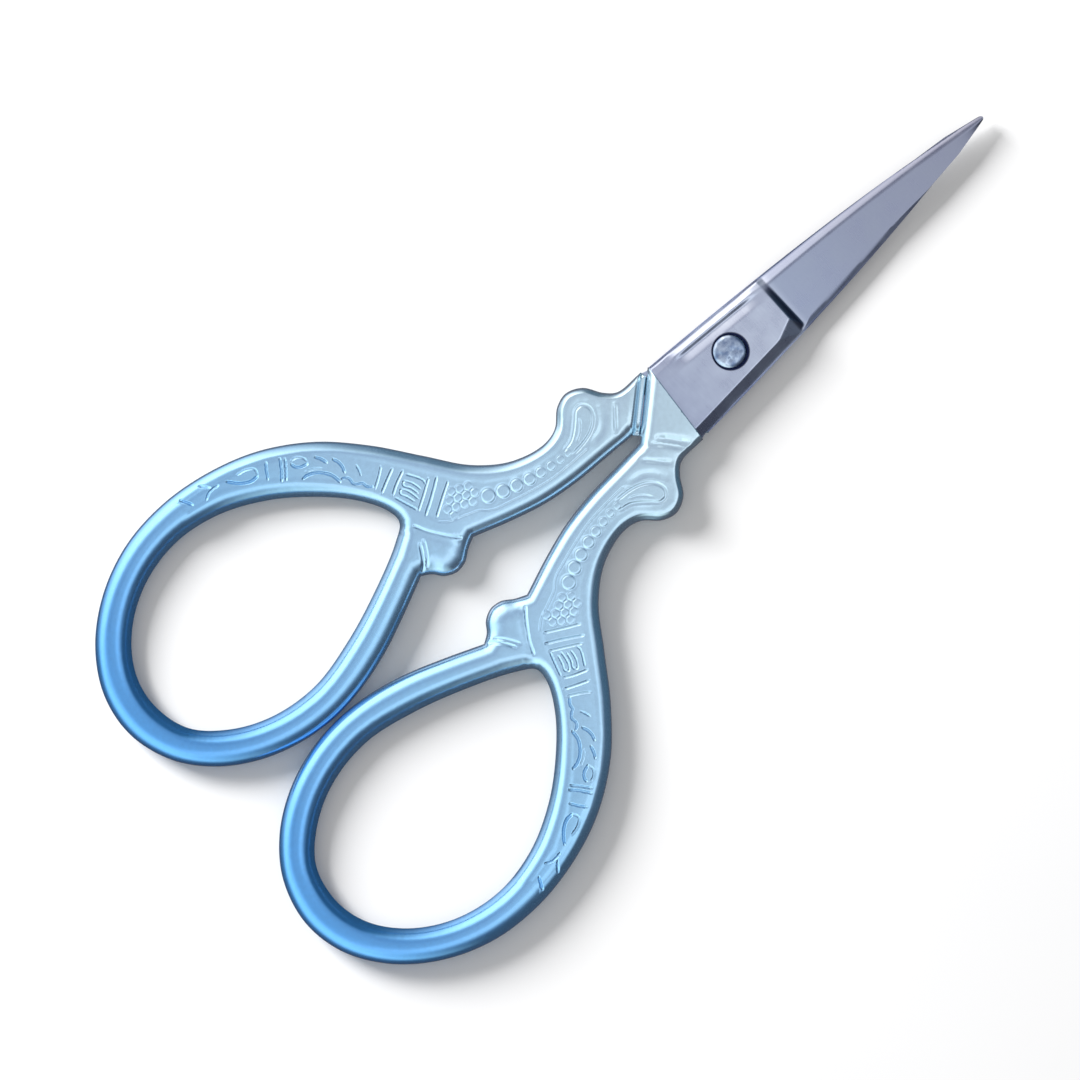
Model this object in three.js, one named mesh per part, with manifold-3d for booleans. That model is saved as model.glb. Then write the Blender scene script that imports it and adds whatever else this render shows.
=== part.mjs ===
// Embroidery scissors, 114 mm long, lying closed. Millimetres, +Z up.
//
// The origin is where the pivot's axis meets the plane that the scissors lie on. +X runs along the
// closed scissors to the tips. Each half is a steel blade with a cast handle on its tang. Both
// halves have the same shape: the lower half is the upper half turned half a turn about X.
// The upper half's finger ring is on the -Y side and its blade's spine is on the +Y side.

import * as THREE from 'three';
import { mergeVertices } from 'three/addons/utils/BufferGeometryUtils.js';
import loadManifold from 'manifold-3d';

const wasm = await loadManifold();
wasm.setup();

// ---- Driving dimensions ----

const HANDLE_THICKNESS = 3.4;
const BLADE_THICKNESS = 1.5; // at the ricasso, the thick flat round the pivot
const RUNNING_GAP = 0.06; // between the faces of the two halves that slide on each other
const FIT_GAP = 0.05; // round the tang in its pocket and round the rivet in the lower blade
const EDGE_ROUND = 1.0; // how far the handle's rounded edges reach in, and up
const COLLAR_STEP = 0.2; // the neck's face beyond the collar lies this much lower
const TIP_X = 37.6;

const SHEAR_Z = HANDLE_THICKNESS / 2; // the plane between the two halves
const INNER_FACE_Z = SHEAR_Z + RUNNING_GAP / 2; // the upper half's face on that plane
const OUTER_FACE_Z = INNER_FACE_Z + BLADE_THICKNESS;

const ROUND_SEGMENTS = 48;
const RING_STEP = 1.6; // spacing of the points along the long curves
const DETAIL_STEP = 0.75; // and along the lug and the shoulder scroll
const VERTEX_MERGE = 1e-4;
const BEYOND = 20; // how far a cutting block reaches past what it cuts

// ---- Outlines of the upper half, seen from above ----

// The handle's edges, from the neck round the finger ring and back to the neck.
const SHANK_INSIDE = [[-14.1, -0.55], [-17.5, -0.75], [-22, -1.0], [-26, -1.6], [-30, -2.75], [-34.3, -4.3]];
const LUG = [[-34.3, -4.3], [-35.6, -3.7], [-36.8, -2.9], [-38.2, -2.7], [-39.5, -3.3], [-40.4, -4.4],
  [-41.4, -5.05]];
const RING_OUTSIDE = [[-41.4, -5.05], [-45.5, -3.3], [-50, -1.6], [-54.5, -0.5], [-59, -0.15],
  [-63.5, -0.75], [-68, -2.4], [-72, -5.15], [-75, -9.0], [-76.4, -14], [-75.6, -19.0], [-72.7, -23.6],
  [-68.2, -27.2], [-62.6, -29.45], [-56.5, -30], [-50.5, -29.1], [-45, -27.1], [-39.9, -23.7],
  [-35.8, -19.35], [-32.2, -14.4], [-29.2, -10.3], [-25.8, -7.6], [-22, -6.45]];
const SHOULDER_SCROLL = [[-22, -6.45], [-19.8, -6.85], [-18.0, -8.4], [-16.3, -8.9], [-14.5, -8.1],
  [-13.2, -6.15], [-12.0, -5.15], [-9, -5.0]];
const NECK_END_X = -3; // the neck's block is made this long, then cut off at the seam
const FINGER_HOLE = [[-72.3, -14.6], [-71.3, -10.3], [-68.0, -7.0], [-63.5, -4.85], [-58.0, -4.15],
  [-52.0, -5.3], [-46.0, -7.35], [-41.0, -9.6], [-39.1, -11.0], [-39.2, -12.8], [-40.9, -15.9],
  [-44, -19.3], [-48.0, -22.5], [-53.0, -25.0], [-58.5, -25.95], [-64.0, -24.9], [-68.5, -22.2],
  [-71.4, -18.5]];

// Lines across the neck: each runs from the half's inner side to its outer side.
const CROSSING_EDGE = [[-14.1, -0.55], [-7.8, 4.85]]; // where the upper neck crosses over the lower one
const SEAM = [[-7.7, 4.9], [-8.7, -5.0]]; // where the handle stops and bare steel begins
const CROSSING_CLEARANCE = 0.2;
const COLLAR = [[-13.3, -0.4], [-9.7, -5.0]];

// The blade's spine is a quadratic curve: start, control point, end.
const SPINE = [[-7.7, 4.8], [21, 3.45], [TIP_X, 0.2]];
const EDGE = [[8, -3.5], [11, -2.8], [14, -2.4], [18, -2.1], [23, -1.95], [28, -1.75], [33, -1.2],
  [TIP_X, -0.25]];

// ---- The blade's thickness and bevels ----

const RICASSO = { rear: -9.5, front: 7.7, rearY: -4.7, frontY: -3.7 };
const RICASSO_SIDE = { height: 0.5, slope: 1.1 };
const SPINE_CHAMFER = { width: 0.8, height: 0.6 };
const BLADE_START_X = 6.5;
const HEEL = { thickness: 1.15, spineHeight: 0.62, bevel: 0.95 };
const TIP = { thickness: 0.5, spineHeight: 0.36, bevel: 0.2 };
const EDGE_HEIGHT = 0.12;
const BLADE_STATIONS = 12;
const FULL_WIDTH_END = 36.5; // x where the blade starts to narrow to its rounded tip
const TIP_NARROWING = [[37.1, 0.8], [TIP_X, 0.35]]; // x and the share of the full width left there

// ---- The tang, its pocket and its anchor ----

const TANG_CENTRE = [[-7, -0.4], [-12, -2.0], [-17, -3.4], [-22, -3.7]];
const TANG_HALF_WIDTH = [1.5, 1.45, 1.3, 1.1];
const TANG_THICKNESS = 0.8;
const ANCHOR = { x: -18, y: -3.5, postRadius: 0.65, holeRadius: 0.7 };

// ---- The rivet ----

const SHANK_RADIUS = 1.2;
const BORE_RADIUS = 1.25; // in the upper blade, which turns on the shank
const HEAD = { radius: 1.85, edge: 0.72, dome: 0.4 };
const COUNTERBORE = { radius: 2.1, depth: 0.75 };
const HEAD_SEAT_GAP = 0.03;
const COUNTERSINK = { radius: 1.8, depth: 0.5 };
const TAIL_FACE_RADIUS = 1.45;

// ---- Materials ----

const castHandle = new THREE.MeshStandardMaterial({ color: 0x79a9d4, roughness: 0.32, metalness: 0.75 });
const bladeSteel = new THREE.MeshStandardMaterial({ color: 0x9ba2bd, roughness: 0.35, metalness: 0.9 });
const rivetSteel = new THREE.MeshStandardMaterial({ color: 0xa9b6cc, roughness: 0.2, metalness: 1.0 });

// ---- Helpers ----

function smoothCurve(points, step, closed = false) {
  const stations = points.map(([x, y]) => new THREE.Vector3(x, y, 0));
  const curve = new THREE.CatmullRomCurve3(stations, closed, 'centripetal');
  const count = Math.round(curve.getLength() / step);
  return curve.getSpacedPoints(count).map((p) => new THREE.Vector2(p.x, p.y));
}

function toSolid(geometry) {
  const positionsOnly = geometry.clone();
  positionsOnly.deleteAttribute('normal');
  positionsOnly.deleteAttribute('uv');
  const merged = mergeVertices(positionsOnly, VERTEX_MERGE);
  return new wasm.Manifold(new wasm.Mesh({
    numProp: 3,
    vertProperties: merged.attributes.position.array,
    triVerts: Uint32Array.from(merged.index.array),
  }));
}

function toGeometry(solid) {
  const mesh = solid.getMesh();
  const geometry = new THREE.BufferGeometry();
  geometry.setAttribute('position', new THREE.BufferAttribute(mesh.vertProperties, 3));
  geometry.setIndex(new THREE.BufferAttribute(mesh.triVerts, 1));
  geometry.computeVertexNormals();
  return geometry;
}

// An upright block on an outline, between two heights.
function prism(outline, bottom, top) {
  const shape = new THREE.Shape(outline.map(([x, y]) => new THREE.Vector2(x, y)));
  const geometry = new THREE.ExtrudeGeometry(shape, { depth: top - bottom, bevelEnabled: false });
  return toSolid(geometry.translate(0, 0, bottom));
}

// A block on the side of a line that faces the tips.
function blockAhead([[x1, y1], [x2, y2]], bottom, top) {
  const length = Math.hypot(x2 - x1, y2 - y1);
  const [alongX, alongY] = [(BEYOND * (x2 - x1)) / length, (BEYOND * (y2 - y1)) / length];
  const start = [x1 - alongX, y1 - alongY];
  const end = [x2 + alongX, y2 + alongY];
  const [aheadX, aheadY] = [-2 * alongY, 2 * alongX];
  return prism([start, end, [end[0] + aheadX, end[1] + aheadY], [start[0] + aheadX, start[1] + aheadY]],
    bottom, top);
}

function uprightCylinder(radius, bottom, top, x = 0, y = 0) {
  const geometry = new THREE.CylinderGeometry(radius, radius, top - bottom, ROUND_SEGMENTS);
  geometry.rotateX(Math.PI / 2);
  return toSolid(geometry.translate(x, y, (bottom + top) / 2));
}

// A solid of revolution about the pivot axis, from [radius, z] pairs listed upwards.
function turned(profile) {
  const points = profile.map(([radius, z]) => new THREE.Vector2(radius, z));
  return new THREE.LatheGeometry(points, ROUND_SEGMENTS).rotateX(Math.PI / 2);
}

// A solid through sections of equal point counts, listed from the rear, with flat ends.
function loft(sections) {
  const count = sections[0].length;
  const indices = [];
  for (let s = 0; s + 1 < sections.length; s += 1) {
    for (let i = 0; i < count; i += 1) {
      const a = s * count + i;
      const b = s * count + ((i + 1) % count);
      indices.push(a, a + count, b, b, a + count, b + count);
    }
  }
  const last = (sections.length - 1) * count;
  for (let i = 1; i + 1 < count; i += 1) {
    indices.push(0, i, i + 1, last, last + i + 1, last + i);
  }
  const geometry = new THREE.BufferGeometry();
  geometry.setAttribute('position', new THREE.Float32BufferAttribute(sections.flat(2), 3));
  geometry.setIndex(indices);
  return toSolid(geometry);
}

// ---- The handle ----

// Where a line that mirrors the crossing edge bounds the full-thickness part of the neck.
function shoulderLine() {
  const [[x1, y1], [x2, y2]] = CROSSING_EDGE;
  const length = Math.hypot(x2 - x1, y2 - y1);
  const backX = (CROSSING_CLEARANCE * (y2 - y1)) / length;
  const backY = (CROSSING_CLEARANCE * (x2 - x1)) / length;
  return [[x1 - backX, -y1 - backY], [x2 - backX, -y2 - backY]];
}

function handleBlank() {
  const outline = [
    ...smoothCurve(SHANK_INSIDE, RING_STEP).slice(0, -1),
    ...smoothCurve(LUG, DETAIL_STEP).slice(0, -1),
    ...smoothCurve(RING_OUTSIDE, RING_STEP).slice(0, -1),
    ...smoothCurve(SHOULDER_SCROLL, DETAIL_STEP),
    new THREE.Vector2(NECK_END_X, SHOULDER_SCROLL.at(-1)[1]),
    new THREE.Vector2(NECK_END_X, CROSSING_EDGE[1][1]),
    new THREE.Vector2(...CROSSING_EDGE[1]),
  ];
  const shape = new THREE.Shape(outline);
  shape.holes.push(new THREE.Path(smoothCurve(FINGER_HOLE, RING_STEP, true).slice(0, -1)));
  const geometry = new THREE.ExtrudeGeometry(shape, {
    depth: HANDLE_THICKNESS - 2 * EDGE_ROUND,
    bevelThickness: EDGE_ROUND,
    bevelSize: EDGE_ROUND,
    bevelOffset: -EDGE_ROUND,
    bevelSegments: 2,
  });
  return toSolid(geometry.translate(0, 0, EDGE_ROUND));
}

function handle() {
  const pocketFloor = INNER_FACE_Z - FIT_GAP;
  const pocketTop = INNER_FACE_Z + TANG_THICKNESS + FIT_GAP;
  return handleBlank()
    .subtract(blockAhead(SEAM, -BEYOND, BEYOND))
    .subtract(blockAhead(shoulderLine(), -BEYOND, INNER_FACE_Z))
    .subtract(blockAhead(COLLAR, HANDLE_THICKNESS - COLLAR_STEP, BEYOND))
    .subtract(prism(tangOutline(FIT_GAP), pocketFloor, pocketTop))
    .add(uprightCylinder(ANCHOR.postRadius, SHEAR_Z / 2, HANDLE_THICKNESS - EDGE_ROUND / 2,
      ANCHOR.x, ANCHOR.y));
}

// ---- The blade and its tang ----

function spineY(x) {
  const [[startX, startY], [controlX, controlY], [endX, endY]] = SPINE;
  const bend = startX - 2 * controlX + endX;
  const run = controlX - startX;
  const t = (Math.sqrt(run * run - bend * (startX - x)) - run) / bend;
  return (1 - t) ** 2 * startY + 2 * t * (1 - t) * controlY + t * t * endY;
}

function edgeY(x) {
  const next = Math.max(1, EDGE.findIndex(([nextX]) => nextX >= x));
  const [[x1, y1], [x2, y2]] = [EDGE[next - 1], EDGE[next]];
  return y1 + Math.max((x - x1) / (x2 - x1), 0) * (y2 - y1);
}

// A section across the blade. Its points run from the inner face's edge side up, over and back down.
function bladeSection(x, points) {
  return points.map(([y, height]) => [x, y, INNER_FACE_Z + height]);
}

function ricasso() {
  const ends = [[RICASSO.rear, RICASSO.rearY], [RICASSO.front, RICASSO.frontY]];
  return loft(ends.map(([x, side]) => {
    const spine = spineY(Math.max(x, SPINE[0][0]));
    return bladeSection(x, [
      [side, 0],
      [side, RICASSO_SIDE.height],
      [side + RICASSO_SIDE.slope, BLADE_THICKNESS],
      [spine - SPINE_CHAMFER.width, BLADE_THICKNESS],
      [spine, SPINE_CHAMFER.height],
      [spine, 0],
    ]);
  }));
}

function bladeStation(x, widthShare) {
  const share = (x - BLADE_START_X) / (TIP_X - BLADE_START_X);
  const between = (key) => HEEL[key] + share * (TIP[key] - HEEL[key]);
  const spine = spineY(x) * widthShare;
  const edge = edgeY(x) * widthShare;
  const bevel = between('bevel') * widthShare;
  return bladeSection(x, [
    [edge, 0],
    [edge, EDGE_HEIGHT],
    [spine - bevel, between('thickness')],
    [spine, between('spineHeight')],
    [spine, 0],
  ]);
}

function taperedBlade() {
  const sections = [];
  for (let i = 0; i < BLADE_STATIONS; i += 1) {
    const x = BLADE_START_X + ((FULL_WIDTH_END - BLADE_START_X) * i) / (BLADE_STATIONS - 1);
    sections.push(bladeStation(x, 1));
  }
  for (const [x, share] of TIP_NARROWING) {
    sections.push(bladeStation(x, share));
  }
  return loft(sections);
}

function tangOutline(grow) {
  const left = [];
  const right = [];
  TANG_CENTRE.forEach(([x, y], i) => {
    const before = TANG_CENTRE[Math.max(i - 1, 0)];
    const after = TANG_CENTRE[Math.min(i + 1, TANG_CENTRE.length - 1)];
    const run = Math.hypot(after[0] - before[0], after[1] - before[1]);
    const [alongX, alongY] = [(after[0] - before[0]) / run, (after[1] - before[1]) / run];
    const half = TANG_HALF_WIDTH[i] + grow;
    const end = i === TANG_CENTRE.length - 1 ? grow : 0;
    left.push([x + alongX * end - alongY * half, y + alongY * end + alongX * half]);
    right.unshift([x + alongX * end + alongY * half, y + alongY * end - alongX * half]);
  });
  return [...left, ...right];
}

function tang() {
  return prism(tangOutline(0), INNER_FACE_Z, INNER_FACE_Z + TANG_THICKNESS)
    .subtract(uprightCylinder(ANCHOR.holeRadius, 0, BEYOND, ANCHOR.x, ANCHOR.y));
}

function bladeBlank() {
  const [[x1, y1], [x2, y2]] = SEAM;
  const seamBehind = [[x2 + FIT_GAP, y2], [x1 + FIT_GAP, y1]];
  return ricasso()
    .add(taperedBlade())
    .subtract(blockAhead(seamBehind, -BEYOND, BEYOND))
    .add(tang());
}

function upperBlade() {
  return bladeBlank()
    .subtract(uprightCylinder(BORE_RADIUS, 0, BEYOND))
    .subtract(uprightCylinder(COUNTERBORE.radius, OUTER_FACE_Z - COUNTERBORE.depth, BEYOND));
}

function lowerBlade() {
  const bore = SHANK_RADIUS + FIT_GAP;
  const deepest = OUTER_FACE_Z - COUNTERSINK.depth;
  const countersink = turned([[0, deepest], [bore, deepest], [COUNTERSINK.radius, OUTER_FACE_Z],
    [COUNTERSINK.radius, OUTER_FACE_Z + 1], [0, OUTER_FACE_Z + 1]]);
  return bladeBlank()
    .subtract(uprightCylinder(bore, 0, BEYOND))
    .subtract(toSolid(countersink));
}

// ---- The rivet ----

// Upright as the scissors lie: its hammered tail stands on the resting plane.
function pivotRivet() {
  const lowerFace = HANDLE_THICKNESS - OUTER_FACE_Z;
  const tailRadius = COUNTERSINK.radius - FIT_GAP;
  const seat = OUTER_FACE_Z - COUNTERBORE.depth + HEAD_SEAT_GAP;
  const headEdge = seat + HEAD.edge;
  const dome = [0.25, 0.5, 0.75].map((share) => {
    const angle = share * (Math.PI / 2);
    return [HEAD.radius * Math.cos(angle), headEdge + HEAD.dome * Math.sin(angle)];
  });
  return turned([
    [0, 0],
    [TAIL_FACE_RADIUS, 0],
    [tailRadius, lowerFace],
    [SHANK_RADIUS, lowerFace + COUNTERSINK.depth],
    [SHANK_RADIUS, seat],
    [HEAD.radius, seat],
    [HEAD.radius, headEdge],
    ...dome,
    [0, headEdge + HEAD.dome],
  ]);
}

// ---- Assembly ----

function part(name, geometry, material) {
  const mesh = new THREE.Mesh(geometry, material);
  mesh.name = name;
  return mesh;
}

const handleGeometry = toGeometry(handle());

const upperHalf = new THREE.Group();
upperHalf.add(part('upper_blade', toGeometry(upperBlade()), bladeSteel));
upperHalf.add(part('upper_handle', handleGeometry, castHandle));

const lowerHalf = new THREE.Group();
lowerHalf.add(part('lower_blade', toGeometry(lowerBlade()), bladeSteel));
lowerHalf.add(part('lower_handle', handleGeometry, castHandle));
lowerHalf.rotation.x = Math.PI;
lowerHalf.position.z = HANDLE_THICKNESS;

const scissors = new THREE.Group();
scissors.add(upperHalf, lowerHalf);
scissors.add(part('pivot_rivet', pivotRivet(), rivetSteel));

export default scissors;
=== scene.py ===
import math

import bpy
import numpy as np
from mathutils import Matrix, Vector
from mathutils.geometry import delaunay_2d_cdt


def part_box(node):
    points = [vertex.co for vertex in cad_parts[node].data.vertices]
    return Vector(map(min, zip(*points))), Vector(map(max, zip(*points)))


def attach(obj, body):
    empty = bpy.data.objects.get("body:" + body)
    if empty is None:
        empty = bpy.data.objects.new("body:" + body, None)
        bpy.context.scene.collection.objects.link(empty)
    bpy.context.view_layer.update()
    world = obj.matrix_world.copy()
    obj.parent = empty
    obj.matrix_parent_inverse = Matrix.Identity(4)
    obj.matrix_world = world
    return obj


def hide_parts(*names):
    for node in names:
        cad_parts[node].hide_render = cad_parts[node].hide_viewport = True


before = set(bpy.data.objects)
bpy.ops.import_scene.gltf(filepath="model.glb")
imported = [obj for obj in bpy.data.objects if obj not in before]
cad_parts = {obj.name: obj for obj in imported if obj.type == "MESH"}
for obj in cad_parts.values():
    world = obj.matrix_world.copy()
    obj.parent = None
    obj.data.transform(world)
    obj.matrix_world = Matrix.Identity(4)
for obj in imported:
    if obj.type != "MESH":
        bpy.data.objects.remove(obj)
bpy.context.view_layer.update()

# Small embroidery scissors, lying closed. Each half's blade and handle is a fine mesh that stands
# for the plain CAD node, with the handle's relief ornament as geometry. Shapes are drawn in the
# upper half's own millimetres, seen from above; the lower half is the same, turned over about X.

MM = 0.001
TINY = 1e-9

# ---- Sizes read from the frame, in millimetres ----

HANDLE_LOW, HANDLE_HIGH = (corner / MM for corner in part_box("upper_handle"))
BLADE_LOW, BLADE_HIGH = (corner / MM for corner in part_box("upper_blade"))
RIVET_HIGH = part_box("pivot_rivet")[1] / MM

HANDLE_TOP = HANDLE_HIGH.z
SHEAR_Z = HANDLE_TOP / 2
INNER_FACE_Z = BLADE_LOW.z
OUTER_FACE_Z = BLADE_HIGH.z
BLADE_THICKNESS = OUTER_FACE_Z - INNER_FACE_Z
TIP_X = BLADE_HIGH.x
HEAD_TOP = RIVET_HIGH.z

# ---- Outlines of the upper half, as in the CAD model ----

SHANK_INSIDE = [(-14.1, -0.55), (-17.5, -0.75), (-22, -1), (-26, -1.6), (-30, -2.75), (-34.3, -4.3)]
LUG = [
    (-34.3, -4.3), (-35.6, -3.7), (-36.8, -2.9), (-38.2, -2.7), (-39.5, -3.3), (-40.4, -4.4),
    (-41.4, -5.05),
]
RING_OUTSIDE = [
    (-41.4, -5.05), (-45.5, -3.3), (-50, -1.6), (-54.5, -0.5), (-59, -0.15), (-63.5, -0.75),
    (-68, -2.4), (-72, -5.15), (-75, -9), (-76.4, -14), (-75.6, -19), (-72.7, -23.6),
    (-68.2, -27.2), (-62.6, -29.45), (-56.5, -30), (-50.5, -29.1), (-45, -27.1), (-39.9, -23.7),
    (-35.8, -19.35), (-32.2, -14.4), (-29.2, -10.3), (-25.8, -7.6), (-22, -6.45),
]
SHOULDER_SCROLL = [
    (-22, -6.45), (-19.8, -6.85), (-18, -8.4), (-16.3, -8.9), (-14.5, -8.1), (-13.2, -6.15),
    (-12, -5.15), (-9, -5),
]
FINGER_HOLE = [
    (-72.3, -14.6), (-71.3, -10.3), (-68, -7), (-63.5, -4.85), (-58, -4.15), (-52, -5.3),
    (-46, -7.35), (-41, -9.6), (-39.1, -11), (-39.2, -12.8), (-40.9, -15.9), (-44, -19.3),
    (-48, -22.5), (-53, -25), (-58.5, -25.95), (-64, -24.9), (-68.5, -22.2), (-71.4, -18.5),
]
CROSSING_EDGE = [(-14.1, -0.55), (-7.8, 4.85)]
SEAM = [(-7.7, 4.9), (-8.7, -5.0)]
CROSSING_CLEARANCE = 0.08
NECK_END_X = -3.0
SPINE = [(-7.7, 4.8), (21, 3.45), (TIP_X, 0.2)]
EDGE = [
    (8, -3.5), (9, -3.1), (11, -2.8), (14, -2.4), (18, -2.1), (23, -1.95), (28, -1.75), (33, -1.2),
    (TIP_X, -0.25),
]
TANG_CENTRE = [(-7, -0.4), (-12, -2.0), (-17, -3.4), (-22, -3.7)]
TANG_HALF_WIDTH = [1.5, 1.45, 1.3, 1.1]
TANG_THICKNESS = 0.8
FIT_GAP = 0.05
ANCHOR_CENTRE, ANCHOR_RADIUS = (-18, -3.5), 0.7
BORE_RADIUS = 1.25
COUNTERBORE_RADIUS, COUNTERBORE_DEPTH = 2.1, 0.75
COUNTERSINK_RADIUS, COUNTERSINK_DEPTH = 1.8, 0.5


# ---- Curves and distances ----

CURVE_STEPS = 24
SEARCH_CELL = 2.0
SEARCH_PART = 300


def smooth(points, step, closed=False):
    """Points at even steps along a centripetal Catmull-Rom curve."""
    p = np.asarray(points, float)
    if closed:
        p = np.vstack([p[-1], p, p[:2]])
    else:
        p = np.vstack([2 * p[0] - p[1], p, 2 * p[-1] - p[-2]])
    knot = np.sqrt(np.linalg.norm(np.diff(p, axis=0), axis=1))
    s = np.linspace(0, 1, CURVE_STEPS, endpoint=False)[:, None]
    dense = []
    for i in range(1, len(p) - 2):
        a, b, c = knot[i - 1], knot[i], knot[i + 1]
        leave = b * ((p[i] - p[i - 1]) / a - (p[i + 1] - p[i - 1]) / (a + b) + (p[i + 1] - p[i]) / b)
        arrive = b * ((p[i + 1] - p[i]) / b - (p[i + 2] - p[i]) / (b + c) + (p[i + 2] - p[i + 1]) / c)
        run = p[i + 1] - p[i]
        bend, twist = 3 * run - 2 * leave - arrive, leave + arrive - 2 * run
        dense.append(p[i] + leave * s + bend * s**2 + twist * s**3)
    dense.append(p[-2:-1])
    return even(np.vstack(dense), step, closed)


def even(path, step, closed=False):
    """The same path with its points at even steps."""
    path = np.asarray(path, float)
    along = np.r_[0, np.cumsum(np.linalg.norm(np.diff(path, axis=0), axis=1))]
    at = np.linspace(0, along[-1], max(1, round(along[-1] / step)) + 1)
    out = np.column_stack([np.interp(at, along, path[:, k]) for k in (0, 1)])
    return out[:-1] if closed else out


def nearest(points, path):
    """Distance of each point from an open path, and how far along it the nearest place lies."""
    start, run = path[:-1], np.diff(path, axis=0)
    length = np.maximum(np.linalg.norm(run, axis=1), TINY)
    before = np.r_[0, np.cumsum(length)[:-1]]
    gap, along = np.empty(len(points)), np.empty(len(points))
    cells = np.floor(points / SEARCH_CELL)
    order = np.lexsort((cells[:, 1], cells[:, 0]))
    for part in np.array_split(order, max(1, len(points) // SEARCH_PART)):
        centre = points[part].mean(0)
        spread = np.hypot(*(points[part] - centre).T).max()
        reach = np.hypot(*(start + run / 2 - centre).T) - length / 2
        close_by = np.flatnonzero(reach < reach.min() + length.max() + 2 * spread)
        away = points[part, None] - start[close_by]
        t = np.clip((away * run[close_by]).sum(2) / length[close_by] ** 2, 0, 1)
        d = np.hypot(away[..., 0] - t * run[close_by, 0], away[..., 1] - t * run[close_by, 1])
        best = d.argmin(1)
        rows = np.arange(len(best))
        gap[part] = d[rows, best]
        along[part] = before[close_by][best] + t[rows, best] * length[close_by][best]
    return gap, along


def close(loop):
    """A loop as a path that comes back to its start."""
    return np.vstack([loop, loop[:1]])


def inside(points, loop):
    """Which points lie inside a closed loop."""
    found = np.zeros(len(points), bool)
    x, y = points[:, 0], points[:, 1]
    for (x1, y1), (x2, y2) in zip(loop, np.roll(loop, -1, axis=0)):
        if y1 != y2:
            found ^= ((y1 > y) != (y2 > y)) & (x < (x2 - x1) * (y - y1) / (y2 - y1) + x1)
    return found


def ahead(points, line):
    """How far each point lies past a line, towards the tips."""
    (x1, y1), (x2, y2) = line
    length = math.hypot(x2 - x1, y2 - y1)
    return ((points[:, 1] - y1) * (x2 - x1) - (points[:, 0] - x1) * (y2 - y1)) / length


def rise(value, low, high):
    """0 below low, 1 above high, and a straight rise between."""
    return np.clip((value - low) / (high - low), 0, 1)


def step_up(value, low, high):
    """0 below low, 1 above high, and a smooth rise between."""
    t = rise(value, low, high)
    return t * t * (3 - 2 * t)


def looked_up(value, table):
    """A table's result for each value, in straight lines between its rows."""
    return np.interp(value, *zip(*table))


def rounded_min(a, b, blend):
    """The lower of two heights, with the ridge where they meet rounded off."""
    t = np.clip(0.5 + 0.5 * (b - a) / blend, 0, 1)
    return b + (a - b) * t - blend * t * (1 - t)


def hex_grid(loop, step):
    """Points of a hexagonal grid over the inside of a loop."""
    low, high = loop.min(0), loop.max(0)
    rows = np.arange(low[1], high[1], step * math.sqrt(3) / 2)
    columns = np.arange(low[0], high[0], step)
    x, y = np.meshgrid(columns, rows)
    x[1::2] += step / 2
    grid = np.column_stack([x.ravel(), y.ravel()])
    return grid[inside(grid, loop)]


# ---- A solid between two height fields on one outline ----

WITHIN_OUTLINE = 1  # the kind of triangulation that leaves out what lies past the border
SAME_PLACE, SAME_HEIGHT = 1e-6, 1e-4
SLOPE_STEP = 0.012
STEEPEST = 0.1  # a slope whose normal points up by less than this is a step in the height field
SHARP_ANGLE = 55
RIM_ANGLES = (11, 20, 29, 38, 47, 55, 63, 71, 79, 87)


def placed(name, data):
    """Puts a mesh, lamp or camera into the scene as an object."""
    thing = bpy.data.objects.new(name, data)
    bpy.context.scene.collection.objects.link(thing)
    return thing


def smooth_mesh(name, co, faces):
    """A mesh from coordinates in millimetres, shaded smooth between its sharp edges."""
    mesh = bpy.data.meshes.new(name)
    mesh.from_pydata((co * MM).tolist(), [], faces)
    mesh.shade_smooth()
    mesh.set_sharp_from_angle(angle=math.radians(SHARP_ANGLE))
    return mesh


def triangles(border, inner, lines):
    """Triangles over the outline: border holds its closed loops, inner and lines what lies within."""
    points, edges = [], []
    for loop in border:
        first = sum(len(p) for p in points)
        edges += [(first + i, first + (i + 1) % len(loop)) for i in range(len(loop))]
        points.append(loop)
    for line in lines:
        first = sum(len(p) for p in points)
        edges += [(first + i, first + i + 1) for i in range(len(line) - 1)]
        points.append(line)
    points.append(inner)
    flat = np.vstack(points)
    made = delaunay_2d_cdt([Vector(p) for p in flat], edges, [], WITHIN_OUTLINE, SAME_PLACE)
    at = np.array([v[:] for v in made[0]])
    faces = np.array(made[2])
    centre = at[faces].mean(1)
    keep = np.ones(len(faces), bool)
    for hole in border[1:]:
        keep &= ~inside(centre, hole)
    faces = faces[keep]
    a, b, c = (at[faces[:, k]] for k in range(3))
    flipped = (b[:, 0] - a[:, 0]) * (c[:, 1] - a[:, 1]) - (b[:, 1] - a[:, 1]) * (c[:, 0] - a[:, 0]) < 0
    faces[flipped] = faces[flipped][:, ::-1]
    return at, faces


def field_normals(height, points, trusted):
    """Normals of a height field, pointing up, or zero where its slope can't be trusted."""
    across = height(points + (SLOPE_STEP, 0)) - height(points - (SLOPE_STEP, 0))
    along = height(points + (0, SLOPE_STEP)) - height(points - (0, SLOPE_STEP))
    normals = np.column_stack([-across, -along, np.full(len(points), 2 * SLOPE_STEP)])
    normals /= np.linalg.norm(normals, axis=1)[:, None]
    trusted = trusted & (normals[:, 2] > STEEPEST)
    return normals * trusted[:, None]


def wall_faces(border, under_index):
    """Faces between the border's upper and lower points. A point that both share is used once."""
    faces = []
    first = 0
    for loop in border:
        for i in range(len(loop)):
            a, b = first + i, first + (i + 1) % len(loop)
            corners = [under_index[a], under_index[b], b, a]
            distinct = list(dict.fromkeys(int(c) for c in corners))
            if len(distinct) > 2:
                faces.append(distinct)
        first += len(loop)
    return faces


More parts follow.
